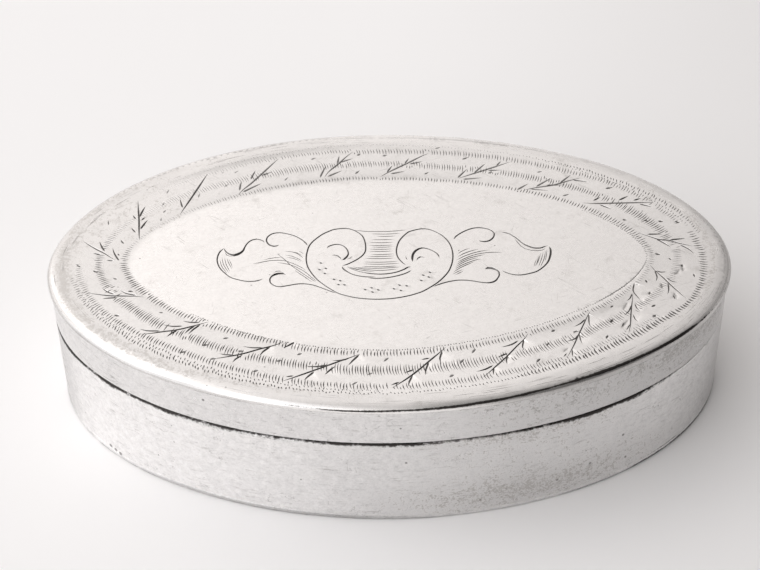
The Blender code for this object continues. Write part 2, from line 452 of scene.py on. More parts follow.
# ---------------------------------------------------------------- the engraving
# Along the edge from the right end round by the back, and inwards from it, in mm.
# In each sprig the first cut is the stem, and the others are its leaves.
SPRIGS = (
    (((10, 9.1), (8.5, 8.6), (6, 7.6), (5, 6.6), (3.5, 5.6), (2, 4.0)),
     ((0, 4.3), (1.5, 4.8), (3.2, 5.7)), ((4.4, 4.5), (5, 6.5)),
     ((7, 6.6), (8.6, 8.4)), ((2.5, 6.8), (6.5, 7.9))),
    (((22.5, 8.9), (20.5, 8.1), (18, 6.6), (16, 5.2), (13.6, 3.3)),
     ((13.2, 4.2), (15.2, 4.9)), ((15.7, 3.8), (16.3, 4.9)), ((17.4, 4.4), (18, 6.0)),
     ((20.6, 6.6), (21.2, 7.9)), ((17.5, 7.9), (20, 8.0))),
    (((31.8, 9.5), (30.2, 8.5), (28, 7.2), (26.4, 5.7), (25, 4.4)),
     ((23.7, 4.7), (26, 5.3)), ((26.5, 4.3), (27.3, 6.6)), ((26.5, 6.6), (29, 7.6)),
     ((28.8, 6.0), (30.3, 8.4)), ((31.5, 8.0), (32.8, 9.8)), ((28, 8.4), (31, 9.0))),
    (((42, 9.2), (39.8, 7.8), (37.5, 6.2), (35.2, 4.4)),
     ((36.5, 4.5), (37, 5.8)), ((36, 6.3), (38, 6.9)), ((38.5, 5.4), (39.8, 7.8)),
     ((38.3, 8.4), (41.2, 9.2)), ((40.8, 6.9), (42, 9.1))),
    (((53.6, 9.4), (52, 8.3), (49.5, 6.6), (47.5, 5.0), (46.5, 4.3)),
     ((47.3, 6.1), (49.3, 6.8)), ((49.3, 5.5), (49.9, 6.8)), ((51.6, 7.0), (52.5, 8.6)),
     ((49.7, 8.2), (52, 8.8))),
    (((61.8, 8.8), (61, 7.7), (59.3, 6.2), (58, 4.8), (57, 3.9)),
     ((57.1, 5.3), (59.3, 6)), ((59, 4.5), (59.5, 6.3)), ((61.1, 6.3), (62.4, 8.7)),
     ((58.9, 7.6), (61.3, 8.6))),
    (((75, 9.0), (74, 8.3), (72, 7.2), (69.5, 5.4), (67.2, 3.5)),
     ((70.9, 5), (72.2, 6.7)), ((73.5, 6.5), (74.5, 8.3)), ((68.8, 6), (70.5, 6.3)),
     ((70.8, 7.8), (74.2, 8.7))),
    (((85, 8.9), (82.1, 7.2), (79.5, 5.3), (77.2, 3.3)), ((83, 6.1), (83.8, 8.0))),
    (((94.8, 9.2), (92.6, 7.8), (90.8, 6.4), (89.3, 4.8), (88, 3.2)),
     ((88, 4.8), (90.3, 6.0)), ((89.6, 6.5), (90.6, 6.6)), ((89.7, 7.1), (92.3, 7.8)),
     ((90.6, 5), (91, 6)), ((92.9, 6.6), (93.5, 7.9))),
    (((103.5, 8.3), (101.5, 6.6), (100.5, 5.0), (99.3, 2.8)),
     ((98.5, 4.9), (100.8, 6.4)), ((99.3, 7.0), (102, 8.1), (103.5, 8.6)),
     ((101.8, 5), (101.9, 6.2)), ((103.6, 7), (103.6, 8))),
    (((119, 9.1), (117.7, 8.4), (116.4, 7.5), (115, 6.3), (113.3, 4.9), (112.2, 3.9)),
     ((112.2, 5.9), (113.5, 6.1), (115, 6.7)), ((114.7, 5.0), (115.1, 5.7), (116, 6.8)),
     ((114.3, 7.5), (115.8, 7.8), (117.6, 8.6))),
    (((131.2, 10.0), (130.2, 9.1), (128, 7.1), (126.5, 6.0), (125.2, 4.9), (124.1, 4.1)),
     ((123.3, 4.8), (124.5, 5.1), (126.2, 6.0)), ((127.5, 5.4), (127.7, 6.3), (128.1, 7.1)),
     ((125.5, 6.9), (127, 7.3), (128.3, 8.0)), ((129.3, 6.8), (129.4, 7.8), (129.8, 8.8)),
     ((129.8, 6.9), (129.9, 7.9), (130.3, 9.1)), ((127.5, 8.6), (128.8, 8.9), (130, 9.4))),
    (((142.9, 9.6), (141.5, 8.6), (140, 7.7), (138.3, 6.5), (136.8, 5.6), (134.9, 4.5)),
     ((135.2, 5.6), (136.2, 5.7), (137.3, 6.0)), ((137.5, 4.7), (137.7, 5.4), (138.3, 6.3)),
     ((140.4, 6.6), (140.6, 7.4), (141.3, 8.5)), ((137.6, 7.6), (139, 7.7), (140.5, 8.1)),
     ((143, 8.6), (143.6, 9.1), (144.2, 9.8))),
    (((153.3, 8.7), (152.2, 8.1), (150.5, 7.2), (148.5, 6.0), (146.8, 4.9), (144.3, 3.2)),
     ((144.6, 4.0), (145.6, 4.4)), ((146.9, 3.8), (147.2, 4.4), (147.9, 5.4)),
     ((149.2, 5.0), (149.6, 5.6), (150.3, 6.5)), ((146.5, 6.1), (148, 6.2), (149.6, 6.7)),
     ((149.7, 7.4), (150.9, 7.5), (152, 7.9)), ((151.9, 6.7), (152.4, 7.5), (153.3, 8.7))),
    (((165, 9.4), (164, 8.6), (162.5, 7.4), (160.8, 5.9), (159.5, 4.8), (157.4, 3.2)),
     ((157.3, 3.7), (158.5, 4.2)), ((159.4, 3.4), (159.6, 4.2), (160.1, 5.2)),
     ((161.6, 5.0), (161.8, 6.0), (162.3, 7.1)), ((159, 5.6), (160.4, 6.1)),
     ((161.3, 7.6), (162.6, 7.8)), ((163.8, 6.6), (163.8, 7.6), (164.3, 8.7))),
    (((176.6, 9.4), (175.5, 8.5), (174, 7.6), (172.3, 6.4), (170.5, 5.2), (168.4, 3.7)),
     ((167.8, 4.8), (169, 4.95), (170.2, 5.4)), ((169.8, 3.8), (169.9, 4.4), (170.2, 5.1)),
     ((171.9, 5.1), (172, 5.8), (172.5, 6.6)), ((171, 6.5), (172.6, 6.9)),
     ((172, 8.0), (173.5, 8.1), (174.7, 8.5)), ((174.8, 6.6), (174.8, 7.4), (175.5, 8.5))),
    (((187, 9.6), (186, 9.1), (184.6, 8.2), (182.8, 6.9), (181, 5.4), (179.2, 3.9)),
     ((178.9, 4.2), (179.7, 4.7)), ((180, 3.7), (180.2, 4.3), (180.6, 5.0)),
     ((182.2, 5.1), (182.4, 6.0), (182.9, 7.0)), ((180.5, 6.4), (181.9, 6.4), (182.9, 7.0)),
     ((182.1, 7.05), (182.35, 7.45), (182.8, 7.4), (183.0, 7.05)),
     ((182.8, 8.2), (184, 8.3), (185.2, 8.7)), ((184.9, 7.0), (185.1, 7.8), (186.2, 9.2))),
    (((194.9, 8.8), (194, 8.2), (192.5, 7.3), (191, 6.2), (189.5, 4.9), (188.3, 4.0)),
     ((188.5, 4.6), (189.8, 5.2)), ((188.3, 5.3), (189.4, 5.8)),
     ((190.9, 4.8), (191, 5.5), (191.5, 6.3)), ((190.2, 6.7), (191.4, 6.9), (192.8, 7.5)),
     ((192.7, 5.9), (192.8, 6.7), (193.4, 7.5)), ((192.7, 8.3), (193.8, 8.4), (194.9, 8.8)),
     ((194.4, 7.0), (194.8, 7.9), (195.5, 9.0), (197.3, 9.7))),
    (((204.9, 9.6), (203.8, 9.1), (203, 8.6), (201.8, 7.4), (200.4, 5.7), (199, 3.2)),
     ((198.2, 5.5), (199.3, 5.8), (200.9, 6.5)), ((201.8, 5.4), (201.6, 6.2), (202, 7.0)),
     ((200, 7.8), (201.3, 8.0), (203, 8.7)), ((203.7, 7.3), (203.1, 7.9), (203, 8.6)),
     ((198, 4.3), (198.8, 5.0))),
)
# Shallow petal cuts beside some of the stems, greyed with painted shade
PETALS = (
    ((179.2, 4.9), (179.8, 5.2), (180.4, 5.4)), ((188.4, 5.2), (189.3, 5.6), (190.2, 5.9)),
    ((190.8, 7.4), (191.8, 7.8), (192.8, 8.1)), ((198.1, 4.2), (198.8, 4.7), (199.5, 5.2)),
    ((198.9, 6.5), (199.6, 6.8), (200.4, 7.2)), ((203.2, 6.4), (204.2, 6.1), (205.2, 6.0)),
    ((204.6, 5.5), (205.5, 5.6), (206.2, 5.9)),
)
PETAL_WIDTH = 0.75
# Short shallow dashes between the sprigs
DASHES = (
    (0.5, 8.7), (8.4, 3.8), (10, 5.4), (11.6, 6.7), (14.3, 8.5), (20.6, 4.5), (25.4, 8.4),
    (30.8, 5.3), (37.5, 7.2), (41.5, 4.9), (45.5, 3.2), (46.6, 8.5), (52.7, 5.0), (56.3, 4.6),
    (56.8, 8.2), (62.6, 4.6), (67.2, 7.9), (73.5, 4.5), (75.8, 6.6), (80.3, 6.9), (83.7, 4.1),
    (85.7, 5.9), (86.5, 7.2), (88.1, 8.2), (94.2, 3.8), (96.9, 7.5), (101, 8.2), (105.4, 3.8),
    (107.4, 5.8), (110.9, 7.8), (115.9, 8.4), (119.1, 4.7), (123.7, 8.4), (130.9, 4.2),
    (132.9, 6.3), (134.9, 8.2), (135, 4.6), (137.8, 6.8), (140.8, 4.2), (143.1, 6.4),
    (145.4, 7.9), (153, 3.9), (154.8, 5.5), (156.8, 7.8), (164.8, 4.6), (166.5, 6.7),
    (168.4, 8.1), (175.8, 4.7), (178.1, 6.8), (179.9, 8.6), (185.7, 4.9), (188.1, 6.8),
    (190.1, 8.7), (193.4, 4.4), (194.9, 5.6), (196.8, 7.3), (199.1, 8.7), (204.4, 4.1),
    (206.3, 5.8), (208.1, 7.3),
)
# Rows of graver ticks: how far apart, how wide, how much they lean, and then, along the edge,
# the row's distance from it, the length of a tick and how deep it is
ROWS = (
    (0.42, 0.17, 0.36, (
        (0, 2.6, 0.6, 0), (4, 2.6, 0.6, 0), (8, 2.5, 0.7, 0.7), (10, 2.45, 0.8, 0.8),
        (17, 2.6, 0.7, 1), (25, 2.7, 0.5, 0.9), (35, 2.9, 0.25, 0.5), (48, 3.0, 0.25, 0.5),
        (55, 2.6, 0.25, 0.5), (62, 2.5, 0.3, 0.5), (70, 2.5, 0.5, 0.6), (78, 2.6, 0.6, 0.4),
        (84, 2.7, 0.5, 0.1), (98, 2.9, 0.6, 0.05), (108, 3.0, 0.7, 0.15), (114, 3.0, 0.7, 0.5),
        (120, 3.0, 0.7, 0.8), (126, 2.9, 0.65, 1), (135, 2.6, 0.55, 1), (142, 2.35, 0.45, 1),
        (150, 2.35, 0.35, 0.9), (158, 2.45, 0.3, 0.8), (165, 2.7, 0.35, 0.8),
        (172, 2.9, 0.4, 0.9), (176, 2.9, 0.4, 0.5), (179, 2.8, 0.4, 0), (206, 2.6, 0.5, 0))),
    (0.43, 0.33, 0.02, (
        (0, 3.45, 1.3, 0.35), (3, 3.45, 1.2, 0.3), (6, 3.4, 1.0, 0.15), (8, 3.3, 0.8, 0),
        (172, 3, 0.5, 0), (174, 3.1, 0.8, 0.6), (182, 3.4, 1.1, 1), (188, 3.5, 1.2, 1),
        (193, 3.4, 1.2, 1), (196, 3.1, 1.1, 1), (199, 2.8, 1.0, 0.9), (203, 2.95, 1.05, 0.75),
        (207, 3.3, 1.25, 0.5))),
    (0.44, 0.14, 0.24, (
        (0, 3.2, 0.4, 0), (6, 3.2, 0.4, 0), (9, 3.2, 0.45, 0.5), (12, 3.2, 0.45, 0.6),
        (20, 3.2, 0.5, 0.7), (28, 3.1, 0.3, 0.5), (32, 3.3, 0.3, 0), (106, 3.3, 0.4, 0),
        (112, 3.4, 0.5, 0.3), (118, 3.45, 0.5, 0.6), (128, 3.42, 0.5, 0.9), (137, 2.98, 0.45, 1),
        (146, 2.9, 0.4, 1), (152, 2.8, 0.35, 0.9), (156, 2.8, 0.3, 0.4), (158, 2.9, 0.2, 0),
        (200, 3.4, 0.2, 0))),
    (0.37, 0.175, 0.16, (
        (0, 3.9, 0.93, 0), (7, 3.9, 0.9, 0), (10, 3.8, 0.9, 0.5), (12, 3.8, 0.93, 0.5),
        (22, 3.6, 1.08, 0.8), (28, 3.95, 1.24, 0.9), (38, 4.0, 1.32, 1), (48, 4.2, 1.32, 1),
        (55, 4.1, 1.24, 1), (60, 3.6, 0.93, 0.8), (70, 3.4, 1.08, 0.7), (78, 3.5, 1.08, 0.4),
        (84, 3.6, 1.0, 0.16), (90, 3.7, 0.9, 0.1), (101, 3.8, 1.0, 0.05), (107, 3.9, 1.08, 0.2),
        (112, 3.95, 1.08, 0.5), (118, 4.0, 1.08, 0.8), (126, 4.25, 1.16, 1), (132, 4.25, 1.16, 1),
        (138, 3.85, 1.16, 1), (144, 3.6, 1.16, 1), (150, 3.42, 1.16, 1), (158, 3.5, 1.24, 1),
        (165, 3.65, 1.32, 1), (172, 3.95, 1.32, 1), (178, 4.0, 1.08, 0.9), (184, 4.3, 0.93, 0.7),
        (188, 4.3, 0.9, 0.5), (192, 4.25, 0.85, 0.3), (196, 4.1, 0.8, 0))),
    (0.325, 0.17, 0.12, (
        (0, 6.4, 1.4, 0.22), (5, 6.5, 1.5, 0.3), (8, 6.5, 1.75, 0.9), (15, 6.6, 1.93, 1),
        (22, 6.55, 1.4, 0.9), (34, 6.8, 1.57, 1), (45, 7.1, 1.57, 1), (50, 6.8, 1.57, 1),
        (55, 6.6, 1.57, 1), (64, 6.35, 1.93, 1), (75, 6.2, 1.75, 0.9), (83, 5.9, 1.75, 0.7),
        (87, 5.9, 1.6, 0.3), (94, 5.8, 1.4, 0.3), (98, 6.0, 1.3, 0.9), (105, 6.2, 1.22, 0.9),
        (112, 6.5, 1.4, 0.8), (120, 6.75, 1.75, 1), (130, 6.75, 1.75, 1), (138, 6.3, 1.57, 1),
        (147, 6.2, 1.57, 1), (153, 6.05, 2.1, 1), (160, 6.1, 1.93, 1), (168, 6.25, 1.93, 1),
        (176, 6.45, 1.75, 1), (185, 6.8, 1.75, 1), (193, 6.8, 1.57, 0.7), (199, 6.6, 1.4, 0.35))),
    (0.38, 0.18, 0.02, (
        (0, 9.5, 0.87, 0.35), (11, 9.5, 1.3, 0.8), (18, 9.5, 1.3, 0.9), (25, 9.55, 1.01, 1),
        (35, 9.65, 1.01, 1), (45, 9.8, 0.87, 1), (52, 9.75, 0.87, 1), (58, 9.35, 1.01, 1),
        (70, 9.15, 1.01, 0.9), (80, 9.0, 1.01, 0.7), (90, 8.95, 0.8, 0.3), (96, 9.0, 0.8, 0.4),
        (100, 9.05, 1.0, 1), (108, 9.35, 1.25, 1.1), (118, 9.5, 1.35, 1.1), (128, 9.45, 1.3, 1),
        (137, 9.4, 1.16, 1), (142, 9.2, 1.16, 1), (146, 8.85, 1.16, 1), (152, 8.75, 1.16, 1),
        (160, 8.85, 1.09, 1), (168, 8.95, 1.16, 1), (176, 9.25, 1.09, 1), (185, 9.5, 1.01, 1),
        (193, 9.5, 0.94, 0.7), (199, 9.5, 0.87, 0.35))),
    (0.33, 0.15, -0.1, (
        (0, 10.0, 0.3, 0.35), (12, 10.0, 0.4, 0.7), (20, 10.1, 0.25, 0.4), (23, 10.15, 0.25, 0),
        (127, 10.1, 0.25, 0), (130, 10.05, 0.25, 0.6), (137, 9.75, 0.25, 1), (147, 9.4, 0.25, 1),
        (160, 9.4, 0.25, 1), (168, 9.75, 0.25, 1), (176, 10.05, 0.25, 1), (185, 10.35, 0.25, 1),
        (193, 10.3, 0.25, 0.9), (200, 10.2, 0.25, 0.5))),
)
DASH_LENGTH = 0.76
DASH_WIDTH = 0.42
STEM_WIDTH = 0.24
LEAF_WIDTH = 0.25
FACET_REACH = 0.8
FACET_DEPTH = 0.07
TICK_SLOPE = 0.2
TICK_DARK = 0.45
EDGE_SCRATCHES = 190
INNER_LINE = ((188, 10.3), (193, 10.3), (198, 10.22), (203, 10.15), (208, 10.05))

# The cartouche in mm from the lid's middle, to the right and to the back. A line's first number
# is its width. A third number at a point is the width from there on.
FINE = 0.12
LINE = 0.19
HAIR = 0.09
CARTOUCHE = (
    # The big scroll and bowl, in one line
    (LINE, (-5.6, -1.1), (-5.0, -0.85), (-4.4, -0.45), (-3.7, 0.1), (-3.1, 0.8), (-2.8, 1.5),
     (-2.75, 2.4), (-2.85, 3.4), (-3.15, 4.4), (-3.7, 5.1), (-4.4, 5.6), (-5.2, 5.85), (-6.5, 5.7),
     (-7.3, 5.3), (-8.0, 4.8), (-8.7, 4.05), (-9.2, 3.4), (-9.6, 2.6), (-9.8, 1.6), (-9.9, 0.6),
     (-9.85, -0.3), (-9.7, -1.1), (-9.4, -1.9), (-9.0, -2.7), (-8.5, -3.5), (-8.0, -4.1),
     (-7.2, -4.95), (-6.0, -5.98), (-5, -6.45), (-4, -6.8), (-3, -7.0), (-2, -7.12), (-1, -7.15),
     (0, -7.1), (1, -6.95), (2, -6.7), (3, -6.35), (4, -5.85), (5, -5.05), (5.8, -4.3), (6.5, -3.4),
     (7.1, -2.4), (7.5, -1.2), (7.7, 0), (7.7, 1.2), (7.5, 2.4), (7.1, 3.4), (6.5, 4.3), (5.7, 5.0),
     (4.9, 5.45), (4.1, 5.55), (3.3, 5.35), (2.5, 5.0), (1.9, 4.3), (1.4, 3.5), (1.1, 2.6),
     (0.95, 1.6), (1.0, 0.8), (1.2, 0.1), (1.6, -0.6), (2.1, -1.2)),
    # The bowl's inner lines
    (0.2, (-3.1, -2.35), (-2, -2.6), (-1, -2.7), (0, -2.62), (1, -2.35), (1.9, -1.85, 0.22),
     (2.3, -1.5), (2.7, -1.4)),
    (LINE, (-5.6, -1.1), (-5.5, -1.5, 0.26), (-5.1, -2.0, 0.24), (-4.4, -2.6, LINE), (-3.6, -2.95),
     (-2.7, -3.15),
     (-1.5, -3.2)),
    (LINE, (-2.5, -3.35), (-1.5, -3.45), (-0.5, -3.4), (0.5, -3.2), (1.4, -2.9), (2.2, -2.5),
     (2.7, -2.05)),
    # The curls inside
    (LINE, (-7.45, 2.1), (-7.3, 2.45), (-6.8, 2.75), (-6.2, 2.87), (-5.6, 2.7), (-5.15, 2.2),
     (-4.9, 1.6), (-4.85, 1.0), (-5.05, 0.5, 0.28), (-5.35, 0.1, 0.4), (-5.65, -0.05)),
    (LINE, (-5.65, 0), (-5.8, 0.35), (-6.1, 0.75), (-6.5, 0.9), (-6.9, 0.85)),
    (FINE, (-5.1, 0.05), (-4.6, 0.3), (-4.3, 0.7)),
    (0.24, (2.85, -0.6), (2.85, 0.3, 0.32), (3.0, 1.0), (3.4, 1.6), (4.0, 1.95, 0.24),
     (4.6, 1.85, LINE),
     (5.2, 1.5), (5.75, 1.0), (6.0, 0.5), (6.1, 0)),
    (LINE, (3.3, -0.4), (3.5, 0.05), (3.8, 0.35), (4.4, 0.15)),
    (FINE, (2.05, 0.6), (2.1, 0.1), (2.3, -0.35)),
    # The left leaf
    (LINE, (-9.7, 2.65), (-10.2, 3.5), (-10.8, 4.15), (-11.5, 4.65), (-12.3, 5.0), (-13.0, 5.2),
     (-13.6, 5.2), (-14.2, 5.0), (-14.65, 4.5), (-14.8, 3.9), (-14.65, 3.35, 0.24),
     (-14.3, 2.9, 0.28), (-13.9, 2.7, 0.28), (-13.5, 2.75), (-13.2, 2.95)),
    (LINE, (-14.95, 3.35), (-15.2, 3.75), (-15.6, 4.0), (-16.0, 4.1), (-16.5, 3.95), (-16.9, 3.6),
     (-17.2, 3.1), (-17.4, 2.5, 0.2), (-17.5, 2.1, 0.26), (-17.8, 1.6, 0.36), (-18.2, 1.3, 0.45),
     (-18.6, 1.15, 0.45), (-19.0, 1.3, 0.32), (-19.5, 1.7, 0.2), (-19.8, 2.2), (-19.85, 2.5)),
    (FINE, (-19.8, 1.9), (-19.5, 1.2), (-19.1, 0.95), (-18.6, 0.9)),
    (LINE, (-19.85, 2.5), (-20.3, 1.9), (-20.5, 1.3), (-20.6, 0.6), (-20.55, 0), (-20.4, -0.6),
     (-20.1, -1.3), (-19.6, -2.0), (-19.1, -2.6), (-18.6, -3.0), (-17.9, -3.3), (-17.2, -3.55),
     (-16.4, -3.65), (-15.6, -3.55), (-14.95, -3.2)),
    (HAIR, (-20.3, 0.6), (-20, -0.8), (-19.2, -2.3)),
    (HAIR, (-20.05, 0.9), (-19.8, -0.5), (-19, -2.2)),
    (HAIR, (-19.75, 0.9), (-19.5, -0.4), (-18.9, -2.0)),
    (HAIR, (-19.5, 0.8), (-19.2, -0.2), (-18.7, -1.5)),
    (HAIR, (-19.25, 0.6), (-18.95, -0.2), (-18.65, -1.2)),
    (0.3, (-12.2, -2.55), (-12.6, -2.3, 0.38), (-13.1, -2.3, 0.36), (-13.6, -2.5),
     (-14.0, -2.85, LINE),
     (-14.15, -3.3), (-14.1, -3.8), (-13.8, -4.25), (-13.3, -4.6), (-12.7, -4.65), (-12.0, -4.5),
     (-11.2, -4.3), (-10.5, -4.2), (-9.8, -4.25), (-9.0, -4.45), (-8.3, -4.8), (-7.6, -5.2),
     (-7.0, -5.55), (-6.2, -6.0)),
    (FINE, (-13.8, -2.2), (-13.4, -1.9), (-13.0, -1.85), (-12.6, -2.1)),
    (FINE, (-14.35, -2.5), (-14.0, -2.5)),
    (FINE, (-16.4, -0.45), (-15.7, -0.35), (-14.5, 0), (-13.5, 0.1), (-12.5, 0), (-11.5, -0.5),
     (-10.5, -1.2), (-9.8, -1.9)),
    (FINE, (-15.1, 0.15), (-14.3, 0.45), (-13.5, 0.6), (-12.7, 0.6)),
    (FINE, (-13.4, 1.3), (-12.8, 0.6), (-12.3, 0), (-11.9, -0.6), (-10.8, -1.8), (-9.8, -2.8),
     (-9.0, -3.6), (-8.4, -4.1)),
    (FINE, (-13.5, -0.3), (-12.5, -0.5), (-11.5, -0.9), (-10.4, -1.7), (-9.7, -2.4), (-9.1, -3.2),
     (-8.4, -3.9)),
    (FINE, (-11.4, -1.6), (-10.5, -2.5), (-9.8, -3.2), (-9.1, -4.0)),
    (FINE, (-12.6, 1.7), (-11.6, 1.6), (-10.8, 1.1), (-10.2, 0.3)),
    (FINE, (-11.9, 1.7), (-11, 1.4), (-10.3, 0.7)),
    (FINE, (-10.9, 1.8), (-10.5, 1.5), (-10.1, 1.05)),
    (FINE, (-12.6, 1.1), (-11.6, 0.8), (-10.7, 0.2), (-10.2, -0.4)),
    (FINE, (-13.5, 1.2), (-13, 1.25)),
    (FINE, (-12.4, 0.6), (-11.4, 0.4), (-10.4, -0.3)),
    # The right leaf
    (LINE, (7.9, 3.4), (8.2, 4.0), (8.8, 4.6), (9.5, 5.1), (10.2, 5.45), (11.0, 5.6), (11.8, 5.45),
     (12.5, 5.1), (12.9, 4.5), (12.85, 4.0), (12.6, 3.5, 0.22), (12.2, 3.1, 0.24), (11.6, 2.95),
     (11.1, 3.05), (11.0, 3.3)),
    (LINE, (13.7, 4.7), (14.3, 4.55), (14.8, 4.3), (15.3, 3.8), (15.7, 3.3), (16.1, 2.7, 0.2),
     (16.6, 2.2, 0.26), (17.2, 1.8, 0.28), (17.8, 1.6, 0.28), (18.3, 1.6, 0.2), (18.8, 1.85),
     (19.25, 2.05)),
    (FINE, (15.2, 3.6), (15.6, 2.8), (16.0, 2.0), (16.5, 1.5), (17.2, 1.2), (17.9, 1.1),
     (18.5, 1.2), (19.0, 1.6)),
    (LINE, (19.35, 2.0, 0.24), (19.5, 1.5, 0.28), (19.5, 0.8), (19.35, 0), (19.1, -0.8, 0.24),
     (18.7, -1.5, LINE),
     (18.2, -2.1), (17.5, -2.7), (16.7, -3.0), (16.0, -3.2), (15.3, -3.25), (14.6, -3.1),
     (14.0, -2.8), (13.4, -2.35)),
    (HAIR, (19.05, 1.3), (18.95, 0.4), (18.8, -0.4), (18.6, -1.0)),
    (HAIR, (18.9, 1.1), (18.6, -0.4), (18.0, -2.0)),
    (HAIR, (18.6, 0.9), (18.3, -0.4), (17.8, -1.9)),
    (HAIR, (18.3, 0.8), (18.0, -0.4), (17.6, -1.7)),
    (HAIR, (18.0, 0.4), (17.8, -0.8), (17.4, -1.8)),
    (HAIR, (17.8, -0.2), (17.5, -1), (17.3, -1.9)),
    (0.34, (11.4, -2.1), (11.8, -1.85, 0.42), (12.3, -1.95, 0.4), (12.8, -2.25, 0.28),
     (13.1, -2.7, LINE),
     (13.1, -3.2), (12.9, -3.7), (12.6, -4.2, 0.24), (12.1, -4.5, 0.26), (11.5, -4.55, 0.2),
     (10.7, -4.4, LINE), (10.0, -4.2), (9.2, -4.05), (8.3, -4.0), (7.4, -4.15), (6.6, -4.4),
     (5.8, -4.75), (5.2, -5.1)),
    (FINE, (8.2, 0.6), (8.7, 1.15), (9.3, 1.55), (9.9, 1.8)),
    (FINE, (8.2, 0.1), (8.9, 0.7), (9.8, 1.2), (10.9, 1.6)),
    (FINE, (8.1, -0.4), (8.9, 0.2), (9.9, 0.75), (11, 1.15), (12.1, 1.4)),
    (FINE, (8.1, -0.9), (8.9, -0.25), (10, 0.4), (11.2, 0.8), (12.5, 0.95), (13.8, 0.9)),
    (FINE, (8.0, -1.3), (8.8, -0.6), (9.8, 0), (11, 0.4), (11.7, 0.6)),
    (FINE, (7.9, -1.7), (8.8, -0.9), (9.8, -0.3), (10.8, 0.05)),
    (FINE, (7.8, -2.1), (8.6, -1.4), (9.6, -0.8), (10.7, -0.3), (11.2, -0.3)),
    (FINE, (7.6, -2.6), (8.5, -1.8), (9.4, -1.2), (10.3, -0.7)),
    (FINE, (7.5, -3.0), (8.3, -2.4), (9.0, -2.0)),
    (FINE, (7.7, -3.2), (8.4, -2.7), (9.0, -2.3)),
    (FINE, (8.4, 1.2), (8.55, 1.6)),
    (FINE, (12.7, 2.1), (12.95, 2.25)),
    # The hatching in the middle
    (FINE, (-4.2, 5.5), (-2.5, 5.2), (0, 5.15), (2.2, 5.35)),
    (FINE, (-2.2, 4.75), (-0.3, 4.65), (1.6, 4.75)),
    (FINE, (-1.6, 4.3), (-0.2, 4.2), (1.1, 4.3)),
    (FINE, (-2.2, 3.65), (-0.8, 3.6), (0.8, 3.65)),
    (FINE, (-2.4, 3.1), (-0.8, 3.05), (0.7, 3.1)),
    (FINE, (-2.5, 2.6), (-1, 2.53), (0.7, 2.58)),
    (FINE, (-2.2, 2.28), (-0.7, 2.2), (0.7, 2.28)),
    (FINE, (-2.5, 1.9), (-0.9, 1.82), (0.6, 1.86)),
    (FINE, (-2.5, 1.5), (-0.9, 1.42), (0.6, 1.46)),
    (FINE, (-2.3, 0.95), (-0.8, 0.85), (0.8, 0.95)),
    (FINE, (-2.6, 0.58), (-1, 0.5), (0.8, 0.56)),
    (FINE, (-3.0, 0.22), (-1, 0.1), (0.8, 0.17)),
    (FINE, (-3.1, -0.45), (-1, -0.55), (1.2, -0.45)),
    (FINE, (-3.2, -0.8), (-1, -0.92), (1.4, -0.8)),
    (FINE, (-3.4, -1.22), (-1, -1.38), (1.2, -1.25)),
    (FINE, (-4.0, -1.45), (-1.2, -1.65), (1.5, -1.45)),
    (FINE, (-4.5, -1.2), (-3, -1.75), (-1, -2.05), (1.2, -1.8)),
    (FINE, (-4.8, -1.3), (-3.2, -1.95), (-1.5, -2.3)),
    (FINE, (-5.1, -1.2), (-3.8, -1.8), (-2.5, -2.05)),
    (FINE, (-5.1, -1.25), (-3.6, -2.15), (-2.0, -2.6)),
)
DOTS = (
    (-8.1, -0.5), (-7.5, -1.5), (-8.25, -1.7), (-7.6, -2.4), (-6.5, -3.5), (-5.75, -3.75),
    (-5.95, -4.45), (-5.25, -4.5), (-2.8, -5.4), (-2.05, -5.1), (-1.95, -5.85), (-1.25, -5.5),
    (0.6, -5.35), (1.25, -4.7), (1.4, -5.65), (2.1, -4.85), (3.85, -3.95), (4.1, -3.0),
    (4.75, -3.35), (4.9, -2.5),
)
CARTOUCHE_SLOPE = 0.35
DOT_SIZE, DOT_SLOPE, DOT_DARK = 0.4, 0.25, 0.4
PETAL_SLOPE, PETAL_DARK = 0.08, 0.11
DASH_SLOPE = 0.18
TICK_GAP = 0.13
SCRATCH_SLOPE, SCRATCH_DARK = 0.2, 0.12


def smooth_line(points, step):
    """A smooth curve through points, as many numbers to a point as are given."""
    points = np.asarray(points, float)
    if len(points) == 2:
        count = max(2, int(np.hypot(*(points[1] - points[0])[:2]) / step) + 1)
        share = np.linspace(0, 1, count + 1)[:, None]
        return points[0] + (points[1] - points[0]) * share
    padded = np.vstack([2 * points[0] - points[1], points, 2 * points[-1] - points[-2]])
    made = []
    for i in range(len(points) - 1):
        a, b, c, d = padded[i : i + 4]
        count = max(1, round(float(np.hypot(*(c - b)[:2])) / step))
        for t in np.arange(count) / count:
            made.append(0.5 * (2 * b + (c - a) * t + (2 * a - 5 * b + 4 * c - d) * t**2
                               + (3 * b - a - 3 * c + d) * t**3))
    return np.array(made + [points[-1]])


def sideways(line):
    """Unit vectors to the left of a line, seen along it."""
    along = np.gradient(line, axis=0)
    along /= np.maximum(np.hypot(along[:, 0], along[:, 1]), 1e-9)[:, None]
    return np.stack([-along[:, 1], along[:, 0]], 1)


def reached(tree, a, b, half_width):
    """The points that a straight piece may touch: their number, share along it and offset."""
    run = b - a
    for co, i, _ in tree.find_range((*(a + b) / 2, 0), math.hypot(*run) / 2 + half_width + 1e-4):
        away = np.array(co[:2]) - a
        yield i, away @ run / max(run @ run, 1e-12), away


